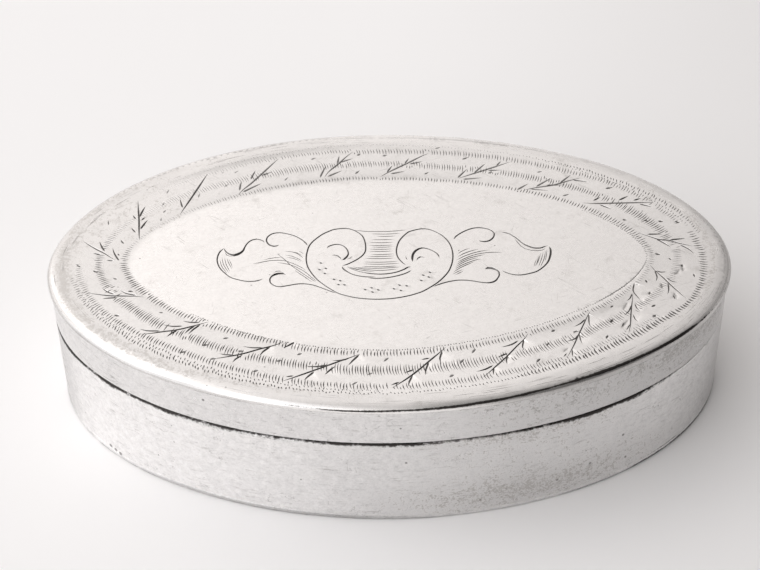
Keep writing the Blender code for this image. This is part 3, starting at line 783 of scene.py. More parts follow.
class Engraving:
    """All cuts in the lid, each a tapered line with a V across it, in mm."""

    def __init__(self):
        self.points, self.edges, self.pieces, self.facets = [], [], [], []

    def chains(self, line, *sides):
        """Joins the line's ends by edges through its points moved to each of the sides."""
        ends = len(self.points)
        self.points += [line[0], line[-1]]
        for side in sides:
            first = len(self.points)
            self.points += list((line + side)[1:-1])
            numbers = [ends, *range(first, len(self.points)), ends + 1]
            self.edges += list(zip(numbers, numbers[1:]))

    def cut(self, line, widths, slope, dark=1.0):
        """One cut along a line, pointed at both ends. Its depth is the width times the slope."""
        line = np.asarray(line, float)
        halves = np.asarray(widths, float) / 2
        side = sideways(line) * np.asarray(widths, float)[:, None] / 2
        self.chains(line, side, 0 * side, -side)
        self.pieces += [(*ends, slope, dark)
                        for ends in zip(line, line[1:], halves, halves[1:])]

    def facet(self, line, reach, depth):
        """A wide bright cut, deepest along a line, that rises to the right of it."""
        line = np.asarray(line, float)
        share = np.sin(np.linspace(0, math.pi, len(line))) ** 0.7
        side = -sideways(line) * (reach * share)[:, None]
        self.chains(line, side)
        self.points += list((line + side / 2)[1:-1])
        self.facets += [(*ends, depth) for ends in zip(line, line[1:], side, side[1:])]

    def tapered(self, points, width, slope, step, taper, end_taper=None, dark=1.0):
        """A cut through points, which may have widths of their own."""
        rows, now = [], width
        for x, y, *own in points:
            now = own[0] if own else now
            rows.append((x, y, now))
        line = smooth_line(rows, step)
        run = lengths_along(line[:, 0], line[:, 1])
        share = np.clip(run / min(taper, run[-1] / 2), 0, 1) ** 0.7
        share *= np.clip((run[-1] - run) / min(end_taper or taper, run[-1] / 2), 0, 1) ** 0.7
        self.cut(line[:, :2], line[:, 2] * share, slope, dark)

    def depths(self, tree, count):
        """At each point: how deep the lid is cut, how near to a cut's middle, and how much painted
        highlight the facets give.
        """
        deep, cut, bright = np.zeros(count), np.zeros(count), np.zeros(count)
        for a, b, half_a, half_b, slope, dark in self.pieces:
            for i, t, away in reached(tree, a, b, max(half_a, half_b)):
                t = min(1.0, max(0.0, t))
                half = half_a + (half_b - half_a) * t
                if half < 1e-5:
                    continue
                inside = 1 - math.hypot(*(away - (b - a) * t)) / half
                if inside > 0.01:
                    deep[i] = max(deep[i], 2 * half * slope * inside)
                    cut[i] = max(cut[i], inside * dark)
        for a, b, side_a, side_b, depth in self.facets:
            widest = max(math.hypot(*side_a), math.hypot(*side_b))
            for i, t, away in reached(tree, a, b, widest):
                if not -0.02 <= t <= 1.02:
                    continue
                side = side_a + (side_b - side_a) * t
                width = math.hypot(*side)
                u = (away - (b - a) * t) @ side / max(width, 1e-9) ** 2
                if -0.01 <= u < 0.99:
                    deep[i] = max(deep[i], depth * (1 - max(u, 0)) * min(1, width / 0.3))
                    # A painted highlight on each facet, strongest by its deep line
                    shine = 0.4 * min(1, 1.5 - 1.5 * u) * min(1, width / 0.5)
                    bright[i] = max(bright[i], shine)
        return deep, cut, bright


def engrave_cartouche(work):
    for width, *points in CARTOUCHE:
        step, taper = (0.6, 0.9) if width <= FINE else (0.35, 0.6)
        work.tapered(points, width, CARTOUCHE_SLOPE, step, taper)
    widest = 0.75 * DOT_SIZE
    for x, y in DOTS:
        line = [(x + DOT_SIZE * t, y - 0.3 * DOT_SIZE * t) for t in (-0.5, -0.2, 0.2, 0.5)]
        work.cut(line, [0, widest, widest, 0], DOT_SLOPE, DOT_DARK)


def engrave_sprigs(work):
    """Stems, leaves and petals. Returns the points of the stems and leaves."""
    points = []
    for sprig in SPRIGS:
        for number, cut in enumerate(sprig):
            line = border_points(smooth_line(cut, 0.5))
            points += list(line)
            # Rubbed thinner and greyer at the back and the left end, and wider
            (s, d), (s_end, d_end) = cut[0], cut[-1]
            start = s * MM
            rubbed = min(1, 1.5 * max(spot(start, 52, 62), 0.5 * spot(start, 110, 26)))
            wider = 1 + 0.3 * rubbed - 0.25 * spot(start, 188, 26)
            slope, dark = 0.3 - 0.09 * rubbed, 0.55 - 0.37 * rubbed
            if number:
                work.tapered(line, LEAF_WIDTH * wider, slope, 0.4, 1.3, 0.3, dark)
            else:
                work.tapered(line, STEM_WIDTH * wider, slope, 0.5, 2.6, None, dark)
            if number and 140 < s < 200 and d_end - d > 0.8 * abs(s_end - s):
                work.facet(line, FACET_REACH * math.hypot(s_end - s, d_end - d), FACET_DEPTH)
    for petal in PETALS:
        work.tapered(border_points(petal), PETAL_WIDTH, PETAL_SLOPE, 0.3, 0.9, None, PETAL_DARK)
    return points


def engrave_dashes(work, random):
    for s, d in DASHES:
        along = np.array([-0.5, -0.22, 0.05, 0.3, 0.5]) * DASH_LENGTH * random.uniform(0.85, 1.2)
        lean = random.uniform(0.3, 1.0) if s < 176 else random.uniform(-0.3, 0.7)
        line = border_points([(s + a, d + a * lean) for a in along])
        faint = spot(s * MM, 80, 30)
        strong = max(spot(s * MM, 206, 44), spot(s * MM, 112, 30))
        widths = np.array([0, 0.65, 1, 0.7, 0]) * DASH_WIDTH * random.uniform(0.7, 1.15)
        work.cut(line, widths * (1 - 0.35 * faint), DASH_SLOPE, 0.19 + 0.15 * strong - 0.09 * faint)


def engrave_row(work, random, tree, pitch, width, lean, row):
    """One row of ticks. A tick that would cross a stem or leaf is cut short of it."""
    row = np.array(row)
    places = np.linspace(0, PERIMETER_MM, 2001)
    insets = np.interp(places, row[:, 0], row[:, 1], period=PERIMETER_MM)
    x, y = oval(turn_at(places * MM), insets * MM)
    run = lengths_along(x, y) / MM
    count = round(run[-1] / pitch)
    for k in range(count):
        s = float(np.interp((k + random.uniform(-0.14, 0.14)) * run[-1] / count, run, places))
        d, tall, strong = (
            np.interp(s, row[:, 0], row[:, i], period=PERIMETER_MM) for i in (1, 2, 3))
        loose = 2.2 if d < 3.5 and s < 170 else 1.0
        d += loose * random.uniform(-0.06, 0.06)
        tall *= random.uniform(0.8, 1.2)
        skew = lean * tall + loose * random.uniform(-0.07, 0.07)
        if strong < 0.15:
            continue
        bend = 0.07 * tall
        for first, last in ((-0.5, 0.5), (-0.25, 0.5), (-0.5, 0.25), (0.05, 0.5), (-0.5, -0.05)):
            shares = np.linspace(first, last, 5 if tall > 0.6 else 4)
            line = border_points([(s - skew * t - bend * (1 - 4 * t * t), d + tall * t)
                                  for t in shares])
            if min(tree.find((*point, 0))[2] for point in line) > TICK_GAP:
                break
        else:
            continue
        profile = np.array((0, 0.6, 1, 0.6, 0) if tall > 0.6 else (0, 1, 1, 0))
        dark = TICK_DARK * (1 + 0.4 * spot(s * MM, 195, 15) - 0.5 * spot(s * MM, 60, 56, 1.6))
        dark *= min(1, 0.4 + 0.6 * strong)
        widest = width * (0.5 + 0.5 * strong) * random.uniform(0.85, 1.12)
        work.cut(line, widest * profile, TICK_SLOPE, dark)


def engrave_scratches(work, random):
    """Hair scratches that follow the edge, from wiping and from the pocket."""
    for _ in range(EDGE_SCRATCHES):
        s, d = random.uniform(0, PERIMETER_MM), random.uniform(0.75, 2.3)
        reach, drift = random.uniform(1.0, 5.0), random.uniform(-0.3, 0.3)
        shares = np.linspace(-0.5, 0.5, 5)
        line = border_points([(s + reach * t, d + drift * t * t) for t in shares])
        widths = np.array([0, 0.7, 1, 0.7, 0]) * random.uniform(0.04, 0.09)
        work.cut(line, widths, SCRATCH_SLOPE, SCRATCH_DARK)


def engrave():
    work = Engraving()
    random = np.random.default_rng(7)
    engrave_cartouche(work)
    tree = make_tree(engrave_sprigs(work))
    engrave_dashes(work, random)
    for row in ROWS:
        engrave_row(work, random, tree, *row)
    inner_line = border_points(smooth_line(INNER_LINE, 0.8))
    work.tapered(inner_line, width=0.18, slope=0.2, step=0.8, taper=3.0, dark=0.13)
    engrave_scratches(work, random)
    return work


# ---------------------------------------------------------------- the lid plate
# A painted black band of shade and dark reflection on the lid's edge, at places along it in mm:
# its middle and its half width in levels of the edge from the top down, and how dark it is
EDGE_BAND = (
    (0, 3.5, 0.6, 0), (139, 4.5, 0.6, 0), (146, 4.4, 0.8, 0.55), (152, 5.6, 1.1, 0.8),
    (158, 4.8, 1.4, 1), (164, 4.2, 1.6, 1), (170, 2.7, 1.3, 1), (176, 1.0, 0.85, 1),
    (182, 1.0, 1.6, 1), (188, 1.3, 1.7, 1), (194, 2.6, 1.4, 1), (198, 3.6, 1.0, 0.75),
    (201, 4.4, 0.9, 0.6), (206, 4, 0.7, 0.4),
)
# How much painted shade greys the edge: high, halfway down and low
EDGE_SHADES = (
    (2, 0.3, 0.5, 0.5), (10, 0.2, 0.33, 0.33), (20, 0.15, 0.24, 0.24), (30, 0.02, 0.02, 0),
    (54, 0.02, 0.02, 0), (60, 0.3, 0.3, 0), (70, 0.5, 0.5, 0), (80, 0.45, 0.45, 0),
    (90, 0.35, 0.35, 0), (100, 0.1, 0.1, 0), (110, 0.35, 0.3, 0.1), (118, 0.25, 0.55, 0.35),
    (126, 0.05, 0.42, 0.2), (134, 0.1, 0.37, 0.2), (140, 0, 0.04, 0.15), (146, 0.2, 0.12, 0.05),
    (152, 0.25, 0, 0), (158, 0.25, 0, 0), (164, 0.4, 0.1, 0.05), (170, 0.4, 0.3, 0.3),
    (176, 0.4, 0.36, 0.38), (188, 0.4, 0.33, 0.42), (194, 0.3, 0.33, 0.45), (200, 0, 0.25, 0.3),
    (206, 0.15, 0.5, 0.55),
)
# A thin painted line of dark reflection on the top beside the edge: how far in it runs, and how
# dark it is
LINE_PLACES = (
    (2, 0.76), (10, 0.8), (20, 0.8), (25, 0.95), (31, 1.15), (40, 1.24), (50, 1.24), (56, 1.1),
    (61, 0.72), (96, 0.72), (110, 1), (190, 0.8), (198, 0.78), (206, 0.87),
)
LINE_SHADES = (
    (2, 0.32), (10, 0.1), (20, 0.12), (26, 0.14), (33, 0.22), (40, 0.45), (47, 0.28), (52, 0.2),
    (56, 0.12), (60, 0.26), (66, 0.45), (76, 0.5), (85, 0.4), (93, 0.2), (98, 0), (196, 0),
    (200, 0.15), (206, 0.32),
)
# A painted grey band of shade on the top beside the black one, and painted shade greying the
# engraved border
BAND_SHADES = (
    (138, 0), (142, 0.1), (150, 0.2), (158, 0.22), (164, 0.48), (190, 0.48), (194, 0.27),
    (198, 0.05), (205, 0),
)
BORDER_SHADES = (
    (5, 0.055), (15, 0.02), (25, 0.02), (35, 0.045), (45, 0.075), (55, 0.09), (65, 0.12),
    (75, 0.13), (85, 0.12), (95, 0.12), (103, 0.16), (110, 0.17), (117, 0.13), (125, 0.11),
    (135, 0.11), (145, 0.08), (155, 0.04), (165, 0), (178, 0), (185, 0.02), (195, 0.045),
    (205, 0.065),
)
# Single pits and nicks in the sides: where in mm, and how wide
RIM_MARKS = ((-21.2, -21.0, 16.3, 0.22), (1.0, -24.9, 15.2, 0.16), (30.2, -15.9, 14.8, 0.25))
WALL_MARKS = (
    (19.3, -21.7, 2.9, 0.24), (23.2, -20.1, 4.0, 0.24), (27.7, -17.9, 2.6, 0.24),
    (1.6, -24.9, 9.6, 0.2), (-33.9, -13.3, 1.1, 0.35), (-33.3, -13.9, 0.95, 0.35),
    (-32.7, -14.4, 0.8, 0.35), (27.1, -18.2, 6.7, 0.25), (-10.5, -23.9, 6.1, 0.16),
    (10.2, -24.0, 2.2, 0.2), (-27.5, -17.9, 4.2, 0.15),
)
# How much painted shade darkens the sides, at places along the edge in mm
RIM_SHADES = (
    (0, 0.34), (30, 0.2), (80, 0.15), (100, 0.14), (115, 0.08), (135, 0.06), (155, 0.1),
    (172, 0.22), (185, 0.27), (200, 0.33),
)
WALL_SHADES = (
    (0, 0.4), (30, 0.15), (80, 0.2), (98, 0.3), (108, 0.32), (112, 0.26), (115.5, 0.06), (118, 0),
    (130, 0), (140, 0.03), (155, 0.16), (172, 0.2), (190, 0.14), (198, 0.22), (203, 0.38),
    (207, 0.46),
)
# The heights of the wall's rows of points, as shares of it
WALL_SHARES = (0, 0.012, 0.03, 0.06, 0.11, 0.18, 0.26, 0.35, 0.45, 0.55, 0.65, 0.75, 0.84, 0.89,
               0.92, 0.943, 0.957, 0.967)


def edge_band_shade(arc, level):
    """How dark the lid's edge is at one of its levels: a painted band of shade runs along it."""
    centre, half, strength = (value_at(arc, EDGE_BAND, column) for column in (1, 2, 3))
    return strength * rise(1.4 * half - abs(level - centre), 0, 0.8 * half)


def edge_shade(arc, level):
    """How much painted shade greys the edge, from the upper, middle and lower values."""
    tones = [value_at(arc, EDGE_SHADES, column) for column in (1, 2, 3)]
    return float(np.interp(level, (1.5, 4, 7), tones))


def lid_surface(x, y):
    """How far the hand-flattened top lies below its highest level, in metres."""
    low = 0.5 + 0.5 * ruffle(x, y, 0, 14 * MM, 1.3)
    fine = 0.5 + 0.5 * ruffle(x, y, 0, 3.2 * MM, 5.1)
    depth, arc = border_depth(x / MM, y / MM), edge_place(x / MM, y / MM)
    roll = max(0.0, ROLL_WIDTH - depth * MM) ** 2 * ROLL_BEND
    roll *= 1 - 0.6 * spot(arc, 187, 17) - min(0.8, 2 * spot(arc, 76, 24))
    # At the left front and at the back the top turns down more sharply
    sharp = 0.5 * spot(arc, 119, 17, 1.8) + 0.36 * spot(arc, 39, 19, 1.8)
    roll += sharp * max(0.0, 1.1 - depth) ** 2 * MM
    return (0.016 * low + 0.0035 * fine) * MM + roll


def lid_stain(s, d):
    """How tarnished the lid's top is, at a place along its edge and a distance in from it."""
    outwards = spot(s, 88, 20, 1.6) + 0.5 * spot(s, 120, 22, 1.5)
    margin = near(d, 1.9 - outwards, 1.5)
    border = 1.0 if 2 < d < 10 else 0.0
    return margin * (0.2 + 0.42 * spot(s, 112, 52) + 0.16 * spot(s, 5, 20)) + border * (
        0.04 + 0.14 * spot(s, 205, 22) + 0.1 * spot(s, 116, 26) + 0.24 * spot(s, 93, 22))


def lid_shade(s, d):
    """How much painted shade darkens the lid's margin and border."""
    inwards = 0.3 + 0.7 * max(rise(d, 0.7, 0.6), 0.8 * spot(s, 88, 20, 1.6))
    side = 0.02 + 0.04 * spot(s, 157, 60) + 0.27 * spot(s, 112, 46) * inwards
    side += 0.1 * spot(s, 66, 14) + 0.05 * spot(s, 80, 20)
    first_row = 0.22 * spot(s, 70, 26) + 0.04 * spot(s, 115, 30)
    last_row = 0.12 * (spot(s, 190, 32) + spot(s, 62, 50) + 0.5 * spot(s, 112, 10))
    return (
        0.1 * spot(s, 2, 18) * (d < 0.8)
        + rise(d, 2.6, -0.8) * rise(d, 0.1, 0.5) * side
        + rise(d, 2.1, 0.5) * rise(d, 10.2, -0.8) * value_at(s, BORDER_SHADES)
        + near(d, 2.8, 0.9) * first_row
        + near(d, 3.9, 1.0) * 0.07 * spot(s, 45, 20)
        + near(d, 9.4, 1.1) * last_row
        + rise(d, 2.6, -0.6) * (0.1 * spot(s, 183, 14) + 0.05 * spot(s, 148, 18))
        + rise(d, 1.15, -0.6) * value_at(s, BAND_SHADES)
    )


def lid_faces(work):
    """The top's points and faces in mm, with all the cuts' edges, and its outermost ring."""
    x, y = oval(TURNS, RING_INSET - bulge(ARCS) * MM)
    ring = [Vector(p) for p in zip(x / MM, y / MM)]
    points = ring + [Vector(p) for p in work.points]
    edges = list(zip(loop(0), loop(0)[1:] + [0]))
    edges += [(a + SIDES, b + SIDES) for a, b in work.edges]
    line_places = np.array([value_at(arc, LINE_PLACES) for arc in ARCS[::2]])
    line_edges = (line_places - LINE_HALF, line_places, line_places + LINE_HALF)
    for inset in (0.62, *line_edges, 1.6, 2.0):
        x, y = oval(TURNS[::2], (inset - bulge(ARCS[::2])) * MM)
        points += [Vector(p) for p in zip(x / MM, y / MM)]
    # A net of points over the middle
    for row in range(-30, 31):
        for column in range(-50, 51):
            x, y = (column + 0.5 * (row % 2)) * NET_STEP, row * NET_STEP * 0.87
            if oval_size(x, y) < 0.85:
                points.append(Vector((x, y)))
    flat, _, faces, *_ = geometry.delaunay_2d_cdt(points, edges, [], 0, 1e-5, True)
    return np.array([tuple(p) for p in flat]), [tuple(f) for f in faces], ring


def make_lid_plate(material):
    work = engrave()
    places, faces, ring = lid_faces(work)
    tree = make_tree(places)
    deep, cut, bright = work.depths(tree, len(places))
    upper = [tree.find((*p, 0))[1] for p in ring]
    vertices = [(x * MM, y * MM, TOP - lid_surface(x * MM, y * MM) - d * MM)
                for (x, y), d in zip(places, deep)]
    # The facets' painted highlight goes in with the rubbed wear
    painted = {"cut": list(cut), "worn": list(0.9 * bright), "dirt": [], "stain": [], "tone": []}
    for x, y in places:
        d, s = border_depth(x, y), edge_place(x, y)
        on_line = near(d + bulge([s])[0], value_at(s, LINE_PLACES), LINE_HALF)
        # Mild grime in the margin, and the painted band of shade where it reaches the top
        beyond = edge_band_shade(s, (RING_INSET / MM - d) / LEVEL_STEP) if d < 1.2 else 0
        painted["dirt"].append(0.15 * near(d, 1.5, 1.5) + beyond)
        painted["stain"].append(lid_stain(s, d))
        painted["tone"].append(min(0.8, lid_shade(s, d) + on_line * value_at(s, LINE_SHADES)))

    # The edge, in levels: the inset, how far down the side and how brightly rubbed it is
    levels = []
    for step in range(1, EDGE_STEPS + 1):
        angle = EDGE_START + (math.pi / 2 - EDGE_START) * step / EDGE_STEPS
        fall = (math.cos(EDGE_START) - math.cos(angle)) / math.cos(EDGE_START)
        levels.append((EDGE_RADIUS * (1 - math.sin(angle)), fall, min(1, step / 2)))
    levels += [(0, 1.04, 0.1), (0.03 * MM, 1.1, 0), (0.14 * MM, 1.15, 0)]
    height = np.array([vertices[i][2] for i in upper])
    side_top = PLATE_LOW + SMALL_EDGE

    def add_ring(upper, x, y, z):
        lower = list(range(len(vertices), len(vertices) + SIDES))
        vertices.extend(zip(x, y, z))
        faces.extend((a, d, c, b) for a, b, c, d in band(upper, lower))
        return lower

    for number, (inset, fall, rubbed) in enumerate(levels, 1):
        z = height - (height - side_top) * fall if fall <= 1 else side_top - (fall - 1) * MM
        z = np.maximum(np.broadcast_to(z, SIDES), PLATE_LOW)
        upper = add_ring(upper, *oval(TURNS, inset - bulge(ARCS) * MM), z)
        painted["cut"] += [0.0] * SIDES
        for s in ARCS:
            dirt, tone = edge_band_shade(s, number), edge_shade(s, number)
            painted["worn"].append(rubbed * (1 - min(1, dirt)) * (1 - min(1, 4 * tone)))
            painted["stain"].append(0.3 * (1 - rubbed) + 0.3 * spot(s, 4, 18))
            painted["tone"].append(tone)
            # The painted band of shade, and painted shade on the plate's side below the edge
            painted["dirt"].append(dirt + 0.55 * (fall > 1))
    # The underside, in rings towards the middle
    rim_x, rim_y, _ = np.array([vertices[i] for i in upper]).T
    for share in (0.9, 0.7, 0.45, 0.2):
        upper = add_ring(upper, rim_x * share, rim_y * share, [PLATE_LOW] * SIDES)
        for layer in painted.values():
            layer += [0.0] * SIDES
    faces.append(tuple(upper))
    return add_mesh("engraved_lid_plate", vertices, faces, material, 16, painted)


# ---------------------------------------------------------------- the sides, base and bezel
# Grime and painted shade along the seam, at the foot of the lid's side
def rim_dirt_and_shade(arc, height):
    return 0.5 * max(0, 1 - (height - RIM_FOOT) / (0.3 * MM))


def rim_stain(arc, height):
    up = (height - RIM_FOOT) / RIM_HEIGHT
    right = 0.2 * spot(arc, 186, 34) + 0.26 * spot(arc, 198, 16)
    return 0.08 + right * min(1, 0.3 + up) + 0.1 * spot(arc, 172, 22)


def rim_shade(arc, height):
    return value_at(arc, RIM_SHADES)


def wall_dirt_and_shade(arc, height):
    """Grime and painted shade: a dark line and a softer band under the seam, dots in it, and a
    painted contact shadow above the base.
    """
    below = (WALL_TOP - height) / MM
    line = max(0, 1 - max(0, below - 0.14) / 0.12) * (0.3 - 0.2 * spot(arc, 201, 13, 1.5))
    strength = (0.24 + 0.26 * spot(arc, 136, 40, 2) + 0.2 * spot(arc, 113, 6)
                + 0.55 * spot(arc, 181, 9) - 0.1 * spot(arc, 201, 13))
    value = max(0, 1 - max(0, below - 0.3) / 0.45) * strength + line
    value += 0.5 * max(0, 1 - below / 0.8) * sum(spot(arc, s, 3) for s in (114, 122, 187))
    # A painted contact shadow along the foot, darkest at the right front
    at_base = max(0, 1 - (height - WALL_FOOT) / (0.25 * MM))
    return value + (0.15 + 0.45 * spot(arc, 194, 9)) * at_base + 0.3 * spot(arc, 110, 5)


def wall_stain(arc, height):
    below = (WALL_TOP - height) / MM
    return (0.06 + spot(arc, 174, 32) * (0.2 + 0.26 * near(height / MM, 3, 3.5))
            + 0.15 * spot(arc, 208, 12)
            + 0.22 * spot(arc, 172, 22) * max(0, 1 - below / 2.2)
            + 0.16 * spot(arc, 105, 9))


def wall_shade(arc, height):
    return value_at(arc, WALL_SHADES)


# Painted shade on the base's rounded foot, a contact shadow darkest at the right front
def base_foot_shade(arc, height):
    reach = (0.35 + 0.4 * spot(arc, 200, 20)) * MM
    return (0.6 + 0.9 * spot(arc, 196, 22, 1.5)) * max(0, 1 - height / reach)


def cut_opening(piece, front, back, low, high):
    """Opens a piece at the back, where the hinge is let in."""
    carve(piece, block("opening", (-NOTCH_HALF, front, low), (NOTCH_HALF, back, high)))


def cut_notch(piece):
    half = BARREL_RADIUS + 0.4 * MM
    cut_opening(piece, HINGE_AXIS.y - 2.1 * MM, HALF_WIDTH + 2 * MM,
                HINGE_AXIS.z - half, HINGE_AXIS.z + half)


def make_sides(rim_silver, wall_silver):
    # The seam narrows at the left front and at the right
    narrow = [0.65 * spot(arc, 106, 16, 1.5) + 0.5 * spot(arc, 200, 12, 1.6) for arc in ARCS]
    half_gap = SEAM_GAP * (1 - np.array(narrow)) / 2
    bevel = 0.06 * MM

    lip, rim_low = 0.18 * MM, SEAM + half_gap
    rows = arc_rows(WALL_INSET + lip, rim_low + lip, lip, -90, 0, 3)
    rows += [(WALL_INSET, RIM_FOOT + share * RIM_HEIGHT)
             for share in (0.1, 0.2, 0.35, 0.5, 0.65, 0.8, 0.9, 0.95)]
    rows += [(WALL_INSET, PLATE_LOW), (WALL_INSET + SMALL_EDGE, PLATE_LOW),
             (WALL_INSIDE, PLATE_LOW), (WALL_INSIDE, RIM_FOOT + bevel),
             (WALL_INSIDE - bevel, rim_low)]
    paint = {"dirt": rim_dirt_and_shade, "stain": rim_stain, "tone": rim_shade}
    rim = sweep("lid_side", rows, rim_silver, 0.05 * MM, paint)
    cut_notch(rim)
    stands_for(rim, "lid", "lid_rim")

    wall_top = SEAM - half_gap
    softening = np.array(
        [0.18 + 0.2 * spot(a, 140, 26) + 0.1 * spot(a, 182, 12) for a in ARCS]) * MM
    rows = [(WALL_INSET, WALL_FOOT + share * (WALL_TOP - WALL_FOOT)) for share in WALL_SHARES]
    for step in range(6):
        angle = math.radians(90 * step / 5)
        rows.append((WALL_INSET + softening * (1 - math.cos(angle)),
                     wall_top - softening * (1 - math.sin(angle))))
    rows += [(WALL_INSIDE - bevel, wall_top), (WALL_INSIDE, WALL_TOP - bevel),
             (WALL_INSIDE, WALL_FOOT), (WALL_INSET + SMALL_EDGE, WALL_FOOT)]
    paint = {"dirt": wall_dirt_and_shade, "stain": wall_stain, "tone": wall_shade}
    wall = sweep("box_side", rows, wall_silver, 0.07 * MM, paint)
    cut_notch(wall)
    stands_for(wall, "body", "body_wall")


def make_base(material):
    """Flat inside and underneath, where its rings shrink towards the middle and are capped."""
    top, edge = base_high.z, 0.3 * MM
    rows = [(HALF_WIDTH * 0.8, 0), (HALF_WIDTH * 0.5, 0), (HALF_WIDTH * 0.2, 0)]
    rows += [(WALL_INSET + 1 * MM, 0), *arc_rows(WALL_INSET + edge, edge, edge, -90, 0, 5)]
    rows += [(WALL_INSET, 0.5 * top), (WALL_INSET, 0.65 * top), (WALL_INSET, top - 0.08 * MM)]
    rows += [(WALL_INSET + 0.05 * MM, top)]
    rows += [(HALF_WIDTH * share, top) for share in (0.2, 0.5, 0.8)]
    vertices, faces, dirt = [], [], []
    for inset, height in rows:
        x, y = oval(TURNS, inset)
        if inset > 1.5 * MM:
            x, y = np.array(oval(TURNS, 0)) * (1 - inset / HALF_WIDTH)
        vertices += [(a, b, height) for a, b in zip(x, y)]
        dirt += [base_foot_shade(arc, height) if inset < 0.8 * MM else 0.0 for arc in ARCS]
    for row in range(len(rows) - 1):
        faces += band(loop(row), loop(row + 1))
    faces += [loop(0)[::-1], loop(len(rows) - 1)]
    # Painted shade on the base, from the sides' table and more at the front left
    tone = [value_at(arc, WALL_SHADES) + 0.3 * spot(arc, 142, 26, 1.6) for arc in ARCS]
    painted = {"dirt": dirt, "tone": tone * len(rows)}
    base = add_mesh("box_base", vertices, faces, material, attributes=painted)
    stands_for(base, "body", "base_plate")


def make_bezel(material):
    low, high = bezel_low.z, bezel_high.z
    rows = [(WALL_INSIDE, low), (WALL_INSIDE, SEAM - 0.4 * MM), (BEZEL_INSET, SEAM - 0.2 * MM)]
    for inset, start in ((BEZEL_INSET + SMALL_EDGE, 0), (BEZEL_INSIDE - SMALL_EDGE, 90)):
        rows += arc_rows(inset, high - SMALL_EDGE, SMALL_EDGE, start, start + 90, 3)
    rows += [(BEZEL_INSIDE, SEAM), (BEZEL_INSIDE, low + SMALL_EDGE)]
    rows += [(BEZEL_INSIDE - SMALL_EDGE, low)]
    bezel = sweep("bezel_strip", rows, material)
    cut_opening(bezel, 0, HALF_WIDTH, low - 1 * MM, high + 1 * MM)
    stands_for(bezel, "body", "body_bezel")


# ---------------------------------------------------------------- the hinge
def tube(name, low, high, radius, bore, material, chamfer, sides=64):
    """A tube or bar along X about the hinge axis, its ends chamfered."""
    rings = [(low, radius - chamfer), (low + chamfer, radius)]
    rings += [(high - chamfer, radius), (high, radius - chamfer)]
    if bore:
        rings += [(high - chamfer / 2, bore), (low + chamfer / 2, bore)]
    vertices, faces, dirt = [], [], []
    for x, r in rings:
        for side in range(sides):
            angle = 2 * math.pi * side / sides
            y, z = HINGE_AXIS.y + r * math.cos(angle), HINGE_AXIS.z + r * math.sin(angle)
            vertices.append((x, y, z))
            # Darker on the chamfers and in the bore
            dirt.append(0.75 if r < radius else 0.1)
    count = len(rings)
    for ring in range(count if bore else count - 1):
        faces += band(loop(ring, sides), loop((ring + 1) % count, sides))
    if not bore:
        faces += [loop(0, sides)[::-1], loop(count - 1, sides)]
    thing = add_mesh(name, vertices, faces, material, attributes={"dirt": dirt})
    bm = bmesh.new()
    bm.from_mesh(thing.data)
    bmesh.ops.recalc_face_normals(bm, faces=bm.faces)
    bm.to_mesh(thing.data)
    bm.free()
    return thing


def make_bearer(node, body, material):
    """A bar fitted to the inside of the wall, with a groove for the tubes."""
    low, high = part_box(node)
    foot, top = (low.z, WALL_TOP) if body == "body" else (RIM_FOOT, high.z)
    quarter = len(FINE_TURNS) // 4 + 1

    def place(at, across, depth, up):
        back = float(np.interp(-at[0], -fine_x[:quarter], fine_y[:quarter]))
        back = back - WALL_INSET - WALL_THICKNESS
        return at[0], low.y if depth < 0 else back, foot if up < 0 else top

    bar = block(node + "_bar", low, high, 24, place)
    bar.data.materials.append(material)
    carve(bar, tube("groove", -HALF_WIDTH, HALF_WIDTH, BARREL_RADIUS + 0.12 * MM, 0, material,
                    0.1 * MM))
    stands_for(bar, body, node)


def make_hinge(hinge_silver, inner_silver, pin_steel):
    close, bore = 0.1 * MM, PIN_RADIUS + 0.04 * MM
    for node in ("body_knuckle_1", "lid_knuckle_1", "body_knuckle_2", "lid_knuckle_2",
                 "body_knuckle_3"):
        low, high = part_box(node)
        thing = tube("tube_" + node, low.x - close, high.x + close, BARREL_RADIUS, bore,
                     hinge_silver, 0.08 * MM)
        stands_for(thing, node.split("_")[0], node)
    pin = tube("hinge_wire", pin_low.x, pin_high.x, PIN_RADIUS, 0, pin_steel, 0.1 * MM, 32)
    stands_for(pin, "body", "hinge_pin")
    for node, grow_low, grow_high in (("hinge_cap_left", 0, close), ("hinge_cap_right", close, 0)):
        low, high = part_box(node)
        cap = tube("end_" + node, low.x - grow_low, high.x + grow_high, BARREL_RADIUS, 0,
                   hinge_silver, 0.14 * MM)
        stands_for(cap, "body", node)
    make_bearer("body_hinge_bearer", "body", inner_silver)
    make_bearer("lid_hinge_bearer", "lid", inner_silver)


def make_pieces():
    # The colour, that of its tarnish, roughness, clouding, mottling, speckle and scratching
    lid_silver = silver(
        "lid_silver_worn", (0.90, 0.885, 0.87), (0.50, 0.48, 0.455), 0.27, 0.05, 0.2, 0.24, 0.25)
    rim_silver = silver(
        "rim_silver_worn", (0.88, 0.87, 0.865), (0.27, 0.255, 0.24), 0.30, 0.1, 0.5, 0.38, 0.4,
        RIM_MARKS)
    wall_silver = silver(
        "wall_silver_worn", (0.93, 0.92, 0.915), (0.36, 0.34, 0.32), 0.34, 0.1, 0.6, 0.36, 0.4,
        WALL_MARKS)
    inner_silver = silver(
        "inner_silver_dull", (0.76, 0.75, 0.72), (0.45, 0.43, 0.39), 0.36, 0.2, 0.2, 0.2, 0.5)
    hinge_silver = silver(
        "hinge_silver_worn", (0.80, 0.79, 0.77), (0.4, 0.385, 0.36), 0.28, 0.15, 0.2, 0.2, 0.3)
    pin_steel = silver(
        "pin_steel_drawn", (0.55, 0.55, 0.56), (0.36, 0.35, 0.34), 0.3, 0.1, 0.2, 0.3, 0.4)
    stands_for(make_lid_plate(lid_silver), "lid", "lid_plate")
    make_sides(rim_silver, wall_silver)
    make_base(wall_silver)
    make_bezel(inner_silver)
    make_hinge(hinge_silver, inner_silver, pin_steel)


